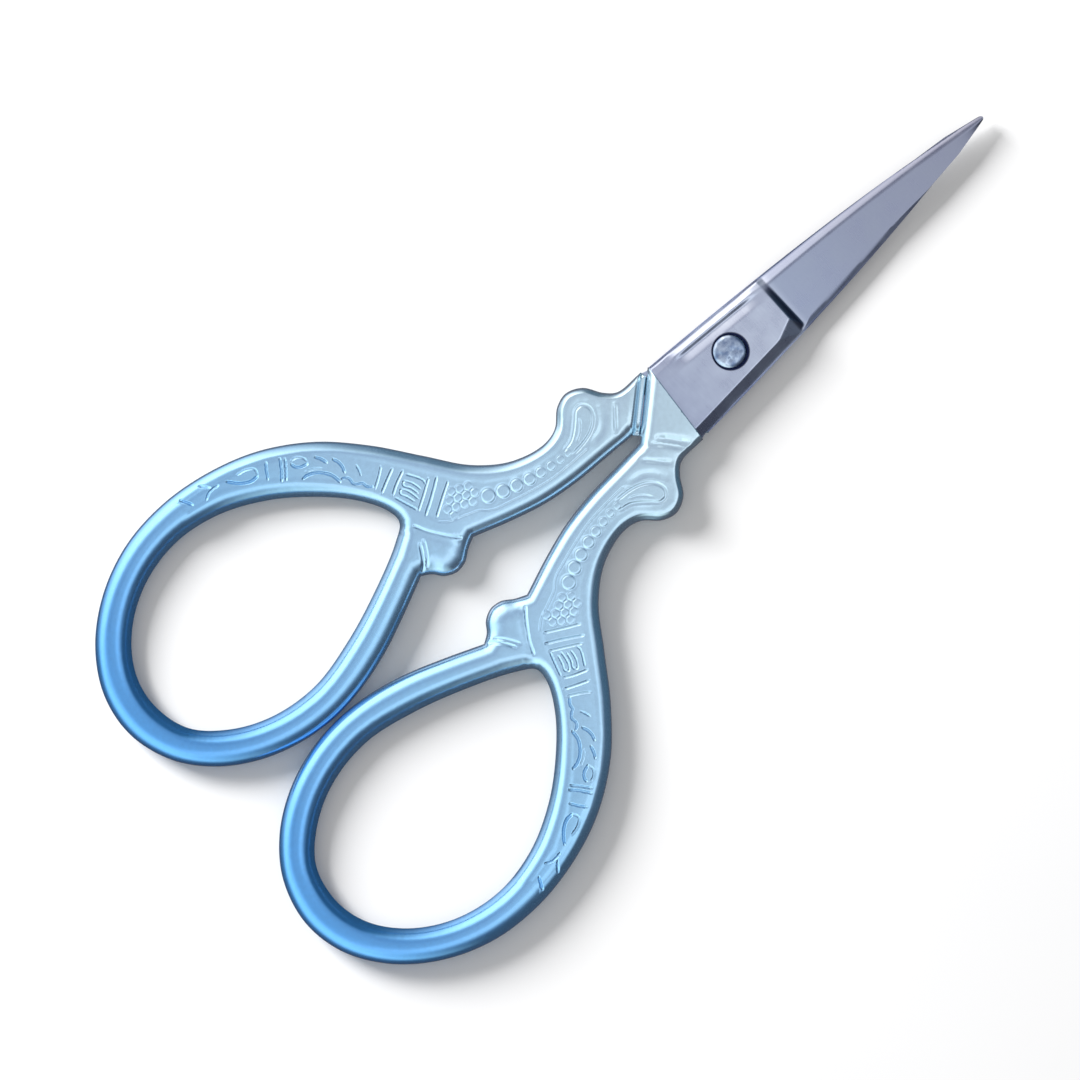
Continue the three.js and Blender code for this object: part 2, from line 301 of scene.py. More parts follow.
def height_solid(
    name, border, top, bottom, top_inner, bottom_inner, top_lines=(), bottom_lines=(), even_slope=None
):
    """A closed mesh object between the height fields top and bottom, in millimetres. Where
    even_slope says so, its shading follows the fields' own slopes."""
    edge_count = sum(len(loop) for loop in border)
    over, over_faces = triangles(border, top_inner, top_lines)
    under, under_faces = triangles(border, bottom_inner, bottom_lines)
    over_z, under_z = top(over), bottom(under)
    shared = np.abs(over_z[:edge_count] - under_z[:edge_count]) < SAME_HEIGHT
    under_index = np.arange(len(under)) + len(over)
    under_index[:edge_count][shared] = np.arange(edge_count)[shared]
    co = np.vstack([np.column_stack([over, over_z]), np.column_stack([under, under_z])])
    faces = over_faces.tolist() + under_index[under_faces][:, ::-1].tolist()
    faces += wall_faces(border, under_index)
    used = np.zeros(len(co), bool)
    used[np.concatenate([np.asarray(f) for f in faces])] = True
    renumber = np.cumsum(used) - 1
    faces = [[int(renumber[c]) for c in f] for f in faces]
    mesh = smooth_mesh(name, co[used], faces)
    if even_slope:
        over_normals = field_normals(top, over, even_slope(over))
        under_normals = -field_normals(bottom, under, even_slope(under))
        over_normals[:edge_count] = under_normals[:edge_count] = 0
        normals = np.vstack([over_normals, under_normals])[used]
        mesh.normals_split_custom_set_from_vertices(normals.tolist())
    return placed(name, mesh)


def rim_rows(loop, radius, inward):
    """Rows of points inside a loop, closer together where the rounded edge is steep."""
    following, previous = np.roll(loop, -1, axis=0), np.roll(loop, 1, axis=0)
    along = following - previous
    along /= np.linalg.norm(along, axis=1)[:, None]
    normal = np.column_stack([-along[:, 1], along[:, 0]]) * inward
    rows = []
    for angle in np.radians(RIM_ANGLES):
        depth = radius * (1 - math.cos(angle))
        rows.append((loop + normal * depth[:, None], depth))
    return rows


# ---- The handle ----

OUTSIDE_STEP = 0.33
LUG_STEP, RING_STEP = OUTSIDE_STEP * 0.7, OUTSIDE_STEP * 0.9


def seam_x(y):
    (x1, y1), (x2, y2) = SEAM
    return x1 + (y - y1) * (x2 - x1) / (y2 - y1)


def handle_edges():
    """The handle's outer loop with the seam, its rounded rim alone, and the finger hole's loop."""
    low_y, high_y = SHOULDER_SCROLL[-1][1], CROSSING_EDGE[1][1]
    low_corner, high_corner = (seam_x(low_y), low_y), (seam_x(high_y), high_y)
    parts = [
        even([high_corner, CROSSING_EDGE[1]], OUTSIDE_STEP)[:-1],
        even(CROSSING_EDGE[::-1], OUTSIDE_STEP)[:-1],
        smooth(SHANK_INSIDE, OUTSIDE_STEP)[:-1],
        smooth(LUG, LUG_STEP)[:-1],
        smooth(RING_OUTSIDE[:-1] + SHOULDER_SCROLL, RING_STEP)[:-1],
        even([SHOULDER_SCROLL[-1], low_corner], OUTSIDE_STEP),
    ]
    rim = np.vstack(parts)
    loop = np.vstack([rim, even([low_corner, high_corner], OUTSIDE_STEP)[1:-1]])
    long_rim = np.vstack([[(NECK_END_X, high_y)], rim, [(NECK_END_X, low_y)]])
    return loop, long_rim, smooth(FINGER_HOLE, OUTSIDE_STEP, closed=True)


def shoulder_line():
    """Where the other half's crossing edge passes, with a clearance."""
    (x1, y1), (x2, y2) = CROSSING_EDGE
    length = math.hypot(x2 - x1, y2 - y1)
    back_x, back_y = CROSSING_CLEARANCE * (y2 - y1) / length, CROSSING_CLEARANCE * (x2 - x1) / length
    return np.array([(x1 - back_x, -y1 - back_y), (x2 - back_x, -y2 - back_y)])


def tang_outline(grow):
    """The tang's outline, grown by so much, from its lower front end to its upper one."""
    centre = np.array(TANG_CENTRE, float)
    along = np.gradient(centre, axis=0)
    along[0], along[-1] = centre[1] - centre[0], centre[-1] - centre[-2]
    along /= np.linalg.norm(along, axis=1)[:, None]
    centre[-1] += along[-1] * grow
    half = (np.array(TANG_HALF_WIDTH) + grow)[:, None]
    normal = np.column_stack([-along[:, 1], along[:, 0]])
    return np.vstack([centre + normal * half, (centre - normal * half)[::-1]])


RING_RADIUS = 1.93
EDGE_RADIUS_AT = [
    (-58, RING_RADIUS), (-50, 1.9), (-42, 1.75), (-35, 1.5), (-28, 1.25), (-22, 0.95), (-18, 0.75),
    (-14, 0.7), (-8, 0.7),
]
SOFT_EDGE_RADIUS = 1.5
SOFT_IN_FRONT_OF, SOFT_WITHIN = (-34.5, -31), (-2.2, -1.7)
LUG_CENTRE, LUG_RADIUS = (-37.9, -4.2), 2.5
LUG_WITHIN = (-3.2, -1.6)
BRANCH_ABOVE, BRANCH_BEHIND = (-14, -10.5), (37.5, 40)
OVAL_ABOVE, OVAL_BEHIND = (-13, -10.5), (40.5, 44.5)
WHOLE_OVAL_BEHIND = (52, 60)
CROWN, CROWN_REACH = 0.2, 3.2


def edge_radius(points):
    """How far the rounded edge reaches in: most round the ring, and least at the neck."""
    x, y = points[:, 0], points[:, 1]
    radius = looked_up(x, EDGE_RADIUS_AT)
    in_ring = step_up(y, *BRANCH_ABOVE) * step_up(-x, *BRANCH_BEHIND)
    radius = radius + (RING_RADIUS - radius) * in_ring
    on_lug = step_up(-np.hypot(x - LUG_CENTRE[0], y - LUG_CENTRE[1]), *LUG_WITHIN)
    radius = radius + (LUG_RADIUS - radius) * on_lug
    shank = np.array(CROSSING_EDGE[::-1] + SHANK_INSIDE[1:])
    soft = step_up(x, *SOFT_IN_FRONT_OF) * step_up(-nearest(points, shank)[0], *SOFT_WITHIN)
    return radius + (SOFT_EDGE_RADIUS - radius) * soft


def oval_share(points):
    """How far the section is an oval from the outer edge to the finger hole: 1 round the ring."""
    x, y = points[:, 0], points[:, 1]
    upper_branch = step_up(y, *OVAL_ABOVE) * step_up(-x, *OVAL_BEHIND)
    return np.maximum(upper_branch, step_up(-x, *WHOLE_OVAL_BEHIND))


def half_height(points, outer, inner):
    """The plain face's height over the equator, from 0 to 1, by the distances from the rim and from
    the finger hole."""
    gap = np.minimum(outer, inner)
    rounded = np.clip(gap / edge_radius(points), 0, 1)
    crowned = np.clip(gap / CROWN_REACH, 0, 1)
    edge_share, crown_share = (np.sqrt(1 - (1 - share) ** 2) for share in (rounded, crowned))
    edge_share += CROWN * (crown_share - edge_share)
    across = (outer - inner) / np.maximum(outer + inner, TINY)
    oval = np.sqrt(np.clip(1 - across**2, 0, 1))
    return edge_share + oval_share(points) * (oval - edge_share)


# Ornament: grooves as (depth, half-width, points).
PANEL = [
    (-35.9, -8.1), (-35, -7.35), (-33.9, -6.9), (-32.8, -6.45), (-31.8, -6), (-31.1, -5.35),
    (-30.3, -4.9), (-29, -4.5), (-27.5, -4.05), (-25, -3.4), (-23.3, -3.1), (-21, -2.95), (-18.6, -2.9),
    (-16.7, -3.3), (-15.3, -4.3), (-14.75, -5.5), (-14.9, -6.7), (-15.7, -7.5), (-16.9, -7.5),
    (-18.2, -6.6), (-19.5, -5.4), (-21.4, -5), (-24.5, -5.4), (-27, -6.4), (-29.3, -7.9),
    (-31.3, -10.2), (-33.5, -13.4), (-36, -17.2), (-38.6, -20.7), (-41.6, -23.6), (-45, -25.8),
    (-49, -27.6), (-52.5, -28.6), (-55.5, -29), (-55.3, -27.4), (-51, -26.6), (-47.3, -24.6),
    (-44.2, -22.1), (-41.3, -19), (-38.9, -15.6), (-37.9, -13.4), (-37, -10.6),
]
PANEL_DEPTH, PANEL_MARGIN, PANEL_EDGE = 0.07, 0.5, (-0.3, 0.35)
FINE = 0.13
GROOVES = [
    # the line above the panel
    (0.06, FINE, PANEL[:13]),
    # round the lug, on its right and its left
    (0.2, 0.2, [(-35.4, -5.2), (-36.1, -6), (-36.9, -7.1), (-37.6, -8.2), (-38.2, -9.5)]),
    (0.1, 0.5, [(-35.9, -5), (-36.7, -6), (-37.5, -7.4), (-38.2, -8.9)]),
    (0.17, 0.22, [(-41.1, -5.2), (-40.3, -5.8), (-39.7, -6.6), (-39.1, -7.6)]),
    (0.13, 0.2, [(-40.2, -5.4), (-39.5, -6.1), (-38.9, -7), (-38.5, -7.7)]),
    # bars above and below the cartouche
    (0.16, 0.17, [(-35.75, -8.6), (-34.2, -9.5), (-32.2, -10.6)]),
    (0.18, 0.17, [(-36.4, -9.6), (-34.8, -10.5), (-32.8, -11.75)]),
    (0.15, 0.17, [(-36.7, -10.45), (-35.2, -11.3), (-33.5, -12.3)]),
    (0.16, 0.17, [(-37.6, -13.6), (-36.5, -14.2), (-35, -14.8)]),
    (0.17, 0.17, [(-38.3, -14.6), (-37, -15.2), (-35.7, -15.75)]),
    (0.14, 0.17, [(-38.6, -15.4), (-37.4, -16.1), (-36.4, -16.8)]),
    # the cartouche's sides and flutes
    (0.15, FINE, [(-36.75, -10.7), (-37.1, -11.7), (-37.6, -13.2)]),
    (0.15, FINE, [(-34.2, -12.1), (-34.1, -12.5), (-34.3, -13.1), (-35, -14.3)]),
    (0.14, FINE, [
        (-36.35, -11.5), (-36.6, -12.4), (-36.9, -13.15), (-36.6, -13.45), (-36.2, -13),
        (-35.95, -12.2), (-35.85, -11.4),
    ]),
    (0.14, FINE, [
        (-35.45, -11.9), (-35.65, -12.8), (-36.05, -13.6), (-35.75, -13.9), (-35.3, -13.4),
        (-35.05, -12.7), (-34.95, -12),
    ]),
    # the zigzag and the leaves down the grip
    (0.23, FINE, [
        (-38.55, -15.7), (-39, -16.2), (-39.15, -16.8), (-39.6, -17.1), (-39.9, -17.5),
        (-39.85, -18.1), (-40.1, -18.5), (-40.5, -18.7),
    ]),
    (0.16, FINE, [(-38.7, -17.5), (-38.45, -18.1), (-38.3, -18.7)]),
    (0.26, 0.15, [
        (-40.8, -18.6), (-40.95, -19.6), (-41.4, -20.4), (-42.1, -21.1), (-42.9, -21.5), (-43.5, -21.6),
    ]),
    (0.11, 0.18, [(-41.2, -20.9), (-41.9, -21.5), (-42.8, -21.95)]),
    (0.24, 0.15, [(-39.75, -19), (-39.5, -19.7), (-39.5, -20.3), (-39.7, -20.9)]),
    (0.24, 0.15, [(-40.45, -21.1), (-40.65, -21.8), (-41, -22.4)]),
    (0.24, 0.15, [(-42.1, -22.45), (-42.8, -22.65), (-43.3, -23.1), (-43.4, -23.6)]),
    (0.12, 0.18, [(-42, -22.6), (-42, -23.2), (-42.6, -23.8), (-43.2, -23.9)]),
    (0.2, 0.15, [(-45.4, -23), (-44.6, -23.9), (-43.9, -24.9)]),
    (0.18, 0.15, [(-44.95, -22.75), (-44.2, -23.6), (-43.5, -24.5)]),
    (0.2, 0.15, [(-46.4, -24.15), (-45.9, -24.9), (-45.3, -25.65)]),
    (0.26, 0.15, [(-47, -25.15), (-47.8, -25.2), (-48.7, -25.7), (-49.4, -26.4), (-49.85, -27)]),
    (0.12, 0.18, [(-46.9, -25.2), (-46.7, -25.9), (-47.4, -26.5), (-48.6, -26.8)]),
    (0.18, 0.15, [(-52.8, -27.1), (-52.2, -27.4), (-51.5, -27.45), (-50.8, -27.35)]),
    (0.18, 0.15, [(-51.6, -27.8), (-52, -28.2), (-52.4, -28.7)]),
    (0.23, 0.15, [(-54.3, -27.7), (-54.6, -28.3), (-54.95, -28.9)]),
    # the scroll on the shoulder
    (0.13, 0.27, [
        (-20.2, -3.45), (-18.5, -3.6), (-17.3, -3.9), (-16.3, -4.45), (-15.65, -5.2), (-15.45, -6.1),
        (-16, -6.85), (-16.8, -6.8), (-17.6, -6.1), (-18.4, -5.4), (-19.4, -4.75), (-20.6, -4.5),
    ]),
    (0.13, 0.45, [(-17.6, -2.95), (-16.2, -3.3), (-15.2, -4.1), (-14.6, -5.2)]),
    (0.1, 0.22, [(-19, -4.2), (-18.2, -4.6), (-17.5, -5.2), (-17, -5.9)]),
    # the groove across the neck
    (0.14, 0.28, [(-15.1, -2.1), (-14.4, -2.9), (-13.7, -3.7), (-13.1, -4.4)]),
]
COLLAR_GROOVES = [
    (0.19, 0.34, [(-13.05, -1.6), (-12.15, -2.6), (-10.95, -4.1)]),
    (0.27, 0.42, [(-12.2, -1.6), (-11.4, -2.5), (-10.2, -4.1)]),
]
PEARL_LINE = [
    (-30.05, -6.45), (-28.5, -5.7), (-27, -5.15), (-25.5, -4.7), (-24.1, -4.4), (-22.8, -4.17),
    (-21.6, -4), (-20.5, -3.95),
]
PEARL_RADIUS = [0.84, 0.8, 0.75, 0.7, 0.6, 0.53, 0.47, 0.42]
PEARL_HEIGHT = 0.11
SCALE_FIELD = [
    (-35.4, -8.1), (-34.2, -7.35), (-32.6, -6.75), (-31.4, -6.3), (-31, -7.4), (-30.4, -8.1),
    (-31.7, -9.7), (-32.7, -10.2),
]
SCALE_START, SCALE_ALONG, SCALE_DOWN = (-36.0, -9.2), (0.86, 0.41), (0.38, -0.78)
SCALE_RADIUS, SCALE_HEIGHT = 0.5, 0.06
HOLLOW_CENTRE, HOLLOW_RADIUS, HOLLOW_DEPTH = (-19.9, -8.4), 2.2, 0.5
MOAT_DEPTH, MOAT_PLACE, MOAT_WIDTH, DOME_REACH = 0.35, 1.02, 0.2, 1.6
STROKE_STEP, ROUGH_STROKE_STEP = 0.15, 0.4
GROOVE_REACH, TAPER_LENGTH, TAPER_START, KEPT_UNDER_GROOVE = 3, 2.5, 0.35, 0.4


def scale_centres():
    """A staggered field of overlapping scales beside the pearls."""
    start, along, down = (np.array(v) for v in (SCALE_START, SCALE_ALONG, SCALE_DOWN))
    places = [(i + 0.5 * (j % 2), j) for j in range(-3, 4) for i in range(-1, 8)]
    centres = np.array([start + along * i + down * j for i, j in places])
    return centres[inside(centres, np.array(SCALE_FIELD))]


def near_box(points, path, reach):
    """Numbers of the points that lie in a path's box or near it."""
    low, high = path.min(0) - reach, path.max(0) + reach
    return np.flatnonzero(((points > low) & (points < high)).all(1))


def dome(points, height, centre, radius, rise):
    """Raises a soft, low dome with a shallow moat round it."""
    mine = near_box(points, np.array([centre]), radius * DOME_REACH)
    away = np.hypot(*(points[mine] - centre).T) / radius
    moat = MOAT_DEPTH * rise * np.exp(-(((away - MOAT_PLACE) / MOAT_WIDTH) ** 2))
    cap = rise * np.clip(1 - away**2, 0, 1)
    height[mine] = np.minimum(height[mine] + cap - moat, 0)


def engrave(points, height, depth, half_width, stroke):
    """Cuts a groove along a stroke, shallower at both ends. What lies under it is flattened."""
    path = smooth(stroke, STROKE_STEP)
    mine = near_box(points, path, GROOVE_REACH * half_width)
    if not len(mine):
        return
    gap, along = nearest(points[mine], path)
    total = np.linalg.norm(np.diff(path, axis=0), axis=1).sum()
    from_end = np.minimum(along, total - along) / (TAPER_LENGTH * half_width)
    taper = np.sqrt(np.clip(from_end + TAPER_START, 0, 1))
    groove = depth * taper * np.exp(-((gap / half_width) ** 2))
    height[mine] = np.minimum(height[mine], height[mine] * KEPT_UNDER_GROOVE - groove)


def relief(points, grooves):
    """Height of the ornament over the plain face: grooves are negative."""
    height = np.zeros(len(points))
    panel = np.array(PANEL)
    mine = near_box(points, panel, PANEL_MARGIN)
    gap, _ = nearest(points[mine], close(panel))
    signed = np.where(inside(points[mine], panel), gap, -gap)
    height[mine] -= PANEL_DEPTH * step_up(signed, *PANEL_EDGE)
    for centre in scale_centres():
        dome(points, height, centre, SCALE_RADIUS, SCALE_HEIGHT)
    for centre, radius in zip(PEARL_LINE, PEARL_RADIUS):
        dome(points, height, centre, radius, PEARL_HEIGHT * radius / PEARL_RADIUS[0])
    for groove in grooves:
        engrave(points, height, *groove)
    hollow = np.hypot(points[:, 0] - HOLLOW_CENTRE[0], points[:, 1] - HOLLOW_CENTRE[1]) / HOLLOW_RADIUS
    return height - HOLLOW_DEPTH * np.exp(-(hollow**2))


def stroke_distance(points):
    """Distance from the nearest ornament, up to 1 mm."""
    found = np.full(len(points), 1.0)
    panel = np.array(PANEL)
    found[inside(points, panel)] = 0
    paths = [smooth(stroke, ROUGH_STROKE_STEP) for _, _, stroke in GROOVES + COLLAR_GROOVES]
    for path in paths + [close(panel)]:
        mine = near_box(points, path, 1.0)
        if len(mine):
            found[mine] = np.minimum(found[mine], nearest(points[mine], path)[0])
    return found


# How the lower face rises behind the shoulder's step, by the distance from it.
SHOULDER_FALL = [(0, 1.1), (0.12, 0.95), (0.45, 0.88), (0.6, 0.72), (0.85, 0.22), (1.1, 0.06), (1.5, 0)]
ORNAMENT_FADE, SHOULDER_FADE = (0.35, 0.85), (0.1, 0.8)


def handle_faces(profile, shoulder, pocket):
    """The handle's upper and lower faces, as functions from points to heights."""

    def ornament(points, share, grooves):
        return relief(points, grooves) * step_up(share, *ORNAMENT_FADE)

    def top(points):
        share = profile(points)
        base = np.where(ahead(points, shoulder) > 0, INNER_FACE_Z, SHEAR_Z)
        return base + (HANDLE_TOP - base) * share + ornament(points, share, GROOVES + COLLAR_GROOVES)

    def bottom(points):
        share = profile(points)
        behind = looked_up(-ahead(points, shoulder), SHOULDER_FALL)
        full = SHEAR_Z - SHEAR_Z * share - ornament(points, share, GROOVES)
        full += behind * step_up(share, *SHOULDER_FADE)
        pocket_roof = INNER_FACE_Z + TANG_THICKNESS + FIT_GAP
        lapped = np.where(inside(points, pocket), pocket_roof, INNER_FACE_Z)
        return np.where(ahead(points, shoulder) > 0, lapped, full)

    return top, bottom


# Distances between mesh points, and how far from edges and ornament each kind of point keeps.
FINE_STEP, PLAIN_STEP, SHOULDER_STEP, FLAT_STEP = 0.1, 0.26, 0.11, 0.6
CUT_STEP, POCKET_STEP = 0.1, 0.05
ORNAMENT_REACH, PLAIN_FROM, RIM_REACH = 0.4, 0.45, 0.42
ROW_SHARE, PLAIN_SHARE = 0.96, 0.97
SEAM_MARGIN, FLAT_SEAM_MARGIN, FLAT_RIM_MARGIN, LINE_MARGIN = 0.1, 0.3, 0.3, 0.03
SHOULDER_REACH = (0.05, 1.4)
LINE_GAP = 0.006  # half the distance between the two rows of points at a step
CUT_SHARE = 0.497
CREASE, RIM_CREASE, NECK_REACH = 0.06, 0.06, 3


def handle_grid(loop, hole, step):
    """A grid of points over the handle, a little short of the seam."""
    grid = hex_grid(loop, step)
    return grid[~inside(grid, hole) & (ahead(grid, SEAM) < -0.5 * step)]


def face_points(loop, hole, edge_distance):
    """Rows of points along the rounded edges, close ones on the ornament and wide ones elsewhere."""
    rows = []
    for this_loop, inward in ((loop, 1), (hole, -1)):
        for points, depth in rim_rows(this_loop, edge_radius(this_loop), inward):
            far = edge_distance(points) > ROW_SHARE * depth
            rows.append(points[far & (ahead(points, SEAM) < -SEAM_MARGIN)])
    rows = np.vstack(rows)
    rows = rows[(stroke_distance(rows) > ORNAMENT_REACH) | (edge_distance(rows) < RIM_REACH)]
    fine, plain = (handle_grid(loop, hole, step) for step in (FINE_STEP, PLAIN_STEP))
    fine = fine[(stroke_distance(fine) < ORNAMENT_REACH) & (edge_distance(fine) > RIM_REACH)]
    wide = edge_distance(plain) > edge_radius(plain) * PLAIN_SHARE
    return np.vstack([rows, fine, plain[(stroke_distance(plain) > PLAIN_FROM) & wide]])


def under_points(inner, loop, hole, shoulder, pocket_rows, edge_distance):
    """The same points up to the shoulder's step, and others round the step and the pocket."""

    def near_shoulder(points):
        behind = -ahead(points, shoulder)
        level = points[:, 0] > shoulder[0][0] - 1
        return (behind > SHOULDER_REACH[0]) & (behind < SHOULDER_REACH[1]) & level

    behind = inner[(ahead(inner, shoulder) < -LINE_MARGIN) & ~near_shoulder(inner)]
    fine = handle_grid(loop, hole, SHOULDER_STEP)
    fine = fine[near_shoulder(fine) & (edge_distance(fine) > 0.1)]
    flat = hex_grid(loop, FLAT_STEP)
    flat = flat[(ahead(flat, shoulder) > 0.1) & (ahead(flat, SEAM) < -FLAT_SEAM_MARGIN)]
    from_pocket = nearest(flat, close(tang_outline(FIT_GAP)))[0]
    flat = flat[(edge_distance(flat) > FLAT_RIM_MARGIN) & (from_pocket > 2 * POCKET_STEP)]
    return np.vstack([behind, fine, flat, *pocket_rows])


def make_handle(name):
    """The upper casting, with its finger hole, tang pocket and ornament."""
    loop, rim, hole = handle_edges()
    loop = np.clip(loop, HANDLE_LOW[:2], HANDLE_HIGH[:2])
    ring = close(hole)
    shoulder = shoulder_line()

    def distances(points):
        return nearest(points, rim)[0], nearest(points, ring)[0]

    def edge_distance(points):
        return np.minimum(*distances(points))

    def profile(points):
        return half_height(points, *distances(points))

    def trimmed(line):
        return line[inside(line, loop) & (edge_distance(line) > LINE_MARGIN)]

    def even_slope(points):
        gap = edge_distance(points)
        at_cut = (np.abs(ahead(points, shoulder)) < CREASE) & (gap < NECK_REACH)
        return (gap > RIM_CREASE) & ~at_cut

    middle = shoulder.mean(0)
    half = (shoulder[1] - shoulder[0]) * CUT_SHARE
    past = LINE_GAP * np.array([half[1], -half[0]]) / np.linalg.norm(half)
    cut = np.array([middle - half, middle + half])
    cuts = [trimmed(even(cut + past, CUT_STEP)), trimmed(even(cut - past, CUT_STEP))]
    pocket_lines = [close(tang_outline(FIT_GAP + shift)) for shift in (-LINE_GAP, LINE_GAP)]
    rows = [trimmed(even(line, POCKET_STEP)) for line in pocket_lines]
    rows = [row[(ahead(row, shoulder) > 0.05) & (ahead(row, SEAM) < -0.05)] for row in rows]
    top, bottom = handle_faces(profile, shoulder, tang_outline(FIT_GAP))
    inner = face_points(loop, hole, edge_distance)
    under = under_points(inner, loop, hole, shoulder, rows, edge_distance)
    return height_solid(name, [loop, hole], top, bottom, inner, under, (), cuts, even_slope)


# ---- The blade ----

# How far the ricasso's outer face lies below the blade's thickness, by the distance from the spine.
SPINE_FALL = [
    (0, 1.3), (0.36, 0.52), (0.9, 0.15), (0.97, 0.13), (1.02, 0.14), (1.4, 0.36), (1.48, 0.36),
    (1.95, 0.19), (2.5, 0),
]
PLAIN_SPINE_FALL = [(0, 1.15), (0.3, 0.36), (1.2, 0.12), (2.5, 0)]
REAR_PLAIN_REACH, FRONT_PLAIN_REACH, FRONT_PLAIN_SHARE = (3.4, 5.8), (4.0, 7.0), 0.85
RICASSO_SIDE = [(-9.5, -4.75), (7.75, -3.65)]
RICASSO_SIDE_HEIGHT, RICASSO_BEVEL, RICASSO_BEVEL_ROUND = 0.3, 1.1, 0.93
RICASSO_FRONT = (7.1, 7.95)
RICASSO_CORNER, RICASSO_CORNER_SLOPE = [(4.6, -2.75), (7.1, -1.7)], 0.75
FILLET_SLOPE, LEAST_HEIGHT = 0.5, 0.05
FILLET = [(-7.7, -4.64), (-8.2, -4.7)]
FILLET_START_X = -7.2
REAR_CORNER_Y = -4.85
BLADE_START_X = 7.1
HEEL_THICKNESS, HEEL_SPINE, HEEL_BEVEL = 1.15, 0.5, 1.25
TIP_THICKNESS, TIP_SPINE, TIP_BEVEL = 0.5, 0.34, 0.42
EDGE_HEIGHT, TIP_EDGE_HEIGHT = 0.12, 0.32
SPINE_EDGE_DROP, SPINE_EDGE_SHARE = 0.35, 0.4
EASED_SPINE_WIDTH, EASED_SPINE_HEIGHT, EASED_SPINE_FADE = 1.05, 0.5, 0.6
EASED_SPINE_START_X = -7
EASED_ROWS = (0.1, 0.2, 0.35, 0.5)
RIDGE_BLEND, BLADE_RIDGE_BLEND = 0.1, 0.16
TIP_RUN, TIP_BEND, TIP_EDGE_RUN = 0.45, 0.12, 0.6
TIP_HIGH_Y, TIP_LOW_Y = 0.2, -0.22
SIDE_STEP, REAR_STEP, FILLET_STEP, TIP_STEP = 0.4, 0.3, 0.15, 0.1
BLADE_STEP, INNER_FACE_STEP = 0.13, 0.6
BLADE_MARGIN, INNER_FACE_MARGIN, RECESS_MARGIN = 0.08, 0.62, 0.06
TANG_THINNING = 5
STEP_GAP = 0.01  # half the distance between the two rows of points at a step
BORE_SIDES, RECESS_SIDES, ANCHOR_SIDES = 64, 96, 24


def spine_y(x):
    """The spine's height in plan, on a parabola through SPINE's ends."""
    (x0, y0), (x1, y1), (x2, y2) = SPINE
    bend, run = x0 - 2 * x1 + x2, x1 - x0
    t = (np.sqrt(np.maximum(run**2 - bend * (x0 - x), 0)) - run) / bend
    return (1 - t) ** 2 * y0 + 2 * t * (1 - t) * y1 + t**2 * y2


def hollow_blade(x, y, spine):
    """Height of the blade in front of the ricasso: a face up to a ridge, and the spine's bevel."""
    tip_share = rise(x, BLADE_START_X, TIP_X)
    thickness = HEEL_THICKNESS + tip_share * (TIP_THICKNESS - HEEL_THICKNESS)
    spine_height = HEEL_SPINE + tip_share * (TIP_SPINE - HEEL_SPINE)
    bevel = HEEL_BEVEL + tip_share * (TIP_BEVEL - HEEL_BEVEL)
    edge = looked_up(x, EDGE)
    ridge = spine - bevel
    edge_height = EDGE_HEIGHT + tip_share**2 * (TIP_EDGE_HEIGHT - EDGE_HEIGHT)
    face = edge_height + (y - edge) / (ridge - edge) * (thickness - edge_height)
    spine_bevel = spine_height + (spine - y) / bevel * (thickness - spine_height)
    at_spine = np.clip(1 - (spine - y) / (SPINE_EDGE_SHARE * bevel), 0, 1)
    spine_bevel -= SPINE_EDGE_DROP * (1 - tip_share) * at_spine**2
    return np.maximum(rounded_min(face, spine_bevel, BLADE_RIDGE_BLEND), EDGE_HEIGHT)


def blade_top(points):
    """Height of the outer face over the inner one."""
    x, y = points.T
    spine = spine_y(np.maximum(x, SPINE[0][0]))
    blade = hollow_blade(x, y, spine)
    fall = looked_up(spine - y, SPINE_FALL)
    in_front = FRONT_PLAIN_SHARE * step_up(x, *FRONT_PLAIN_REACH)
    plain_share = np.maximum(step_up(-x, *REAR_PLAIN_REACH), in_front)
    fall += plain_share * (looked_up(spine - y, PLAIN_SPINE_FALL) - fall)
    outside = looked_up(x, RICASSO_SIDE) - y
    side_share = np.clip(1 + outside / RICASSO_BEVEL, 0, 1)
    side_round = 1 - np.sqrt(1 - (RICASSO_BEVEL_ROUND * side_share) ** 2) * (1 - side_share)
    side_fall = side_round * (BLADE_THICKNESS - RICASSO_SIDE_HEIGHT)
    side = BLADE_THICKNESS - side_fall - FILLET_SLOPE * np.maximum(outside, 0)
    flat = BLADE_THICKNESS - fall
    front = flat + rise(x, *RICASSO_FRONT) * (blade - flat)
    corner = BLADE_THICKNESS + ahead(points, RICASSO_CORNER) * RICASSO_CORNER_SLOPE
    ricasso = rounded_min(rounded_min(front, side, RIDGE_BLEND), corner, RIDGE_BLEND)
    ricasso = np.maximum(ricasso, np.where(x > BLADE_START_X, blade, LEAST_HEIGHT))
    return np.where(x > RICASSO_FRONT[1], blade, ricasso)


def blade_bottom(points):
    """The inner face's spine edge is eased, more at the ricasso."""
    x, y = points.T
    fade = 1 - EASED_SPINE_FADE * rise(x, EASED_SPINE_START_X, TIP_X)
    away = (spine_y(np.maximum(x, SPINE[0][0])) - y) / (EASED_SPINE_WIDTH * fade)
    return EASED_SPINE_HEIGHT * fade * np.clip(1 - away, 0, 1)


def crossing(line, path):
    """Where a path crosses a line, and the number of the path's point before it."""
    side = ahead(path, line)
    i = int(np.flatnonzero(side[:-1] * side[1:] <= 0)[0])
    return path[i] + (path[i + 1] - path[i]) * side[i] / (side[i] - side[i + 1]), i


def tang_loop():
    """The tang's outline behind the seam, from its lower end at the seam to its upper one."""
    tang = tang_outline(0)
    count = len(TANG_CENTRE)
    lower, i = crossing(SEAM, tang[:count])
    upper, j = crossing(SEAM, tang[count:])
    return np.vstack([lower, tang[i + 1:count], tang[count:count + j + 1], upper])


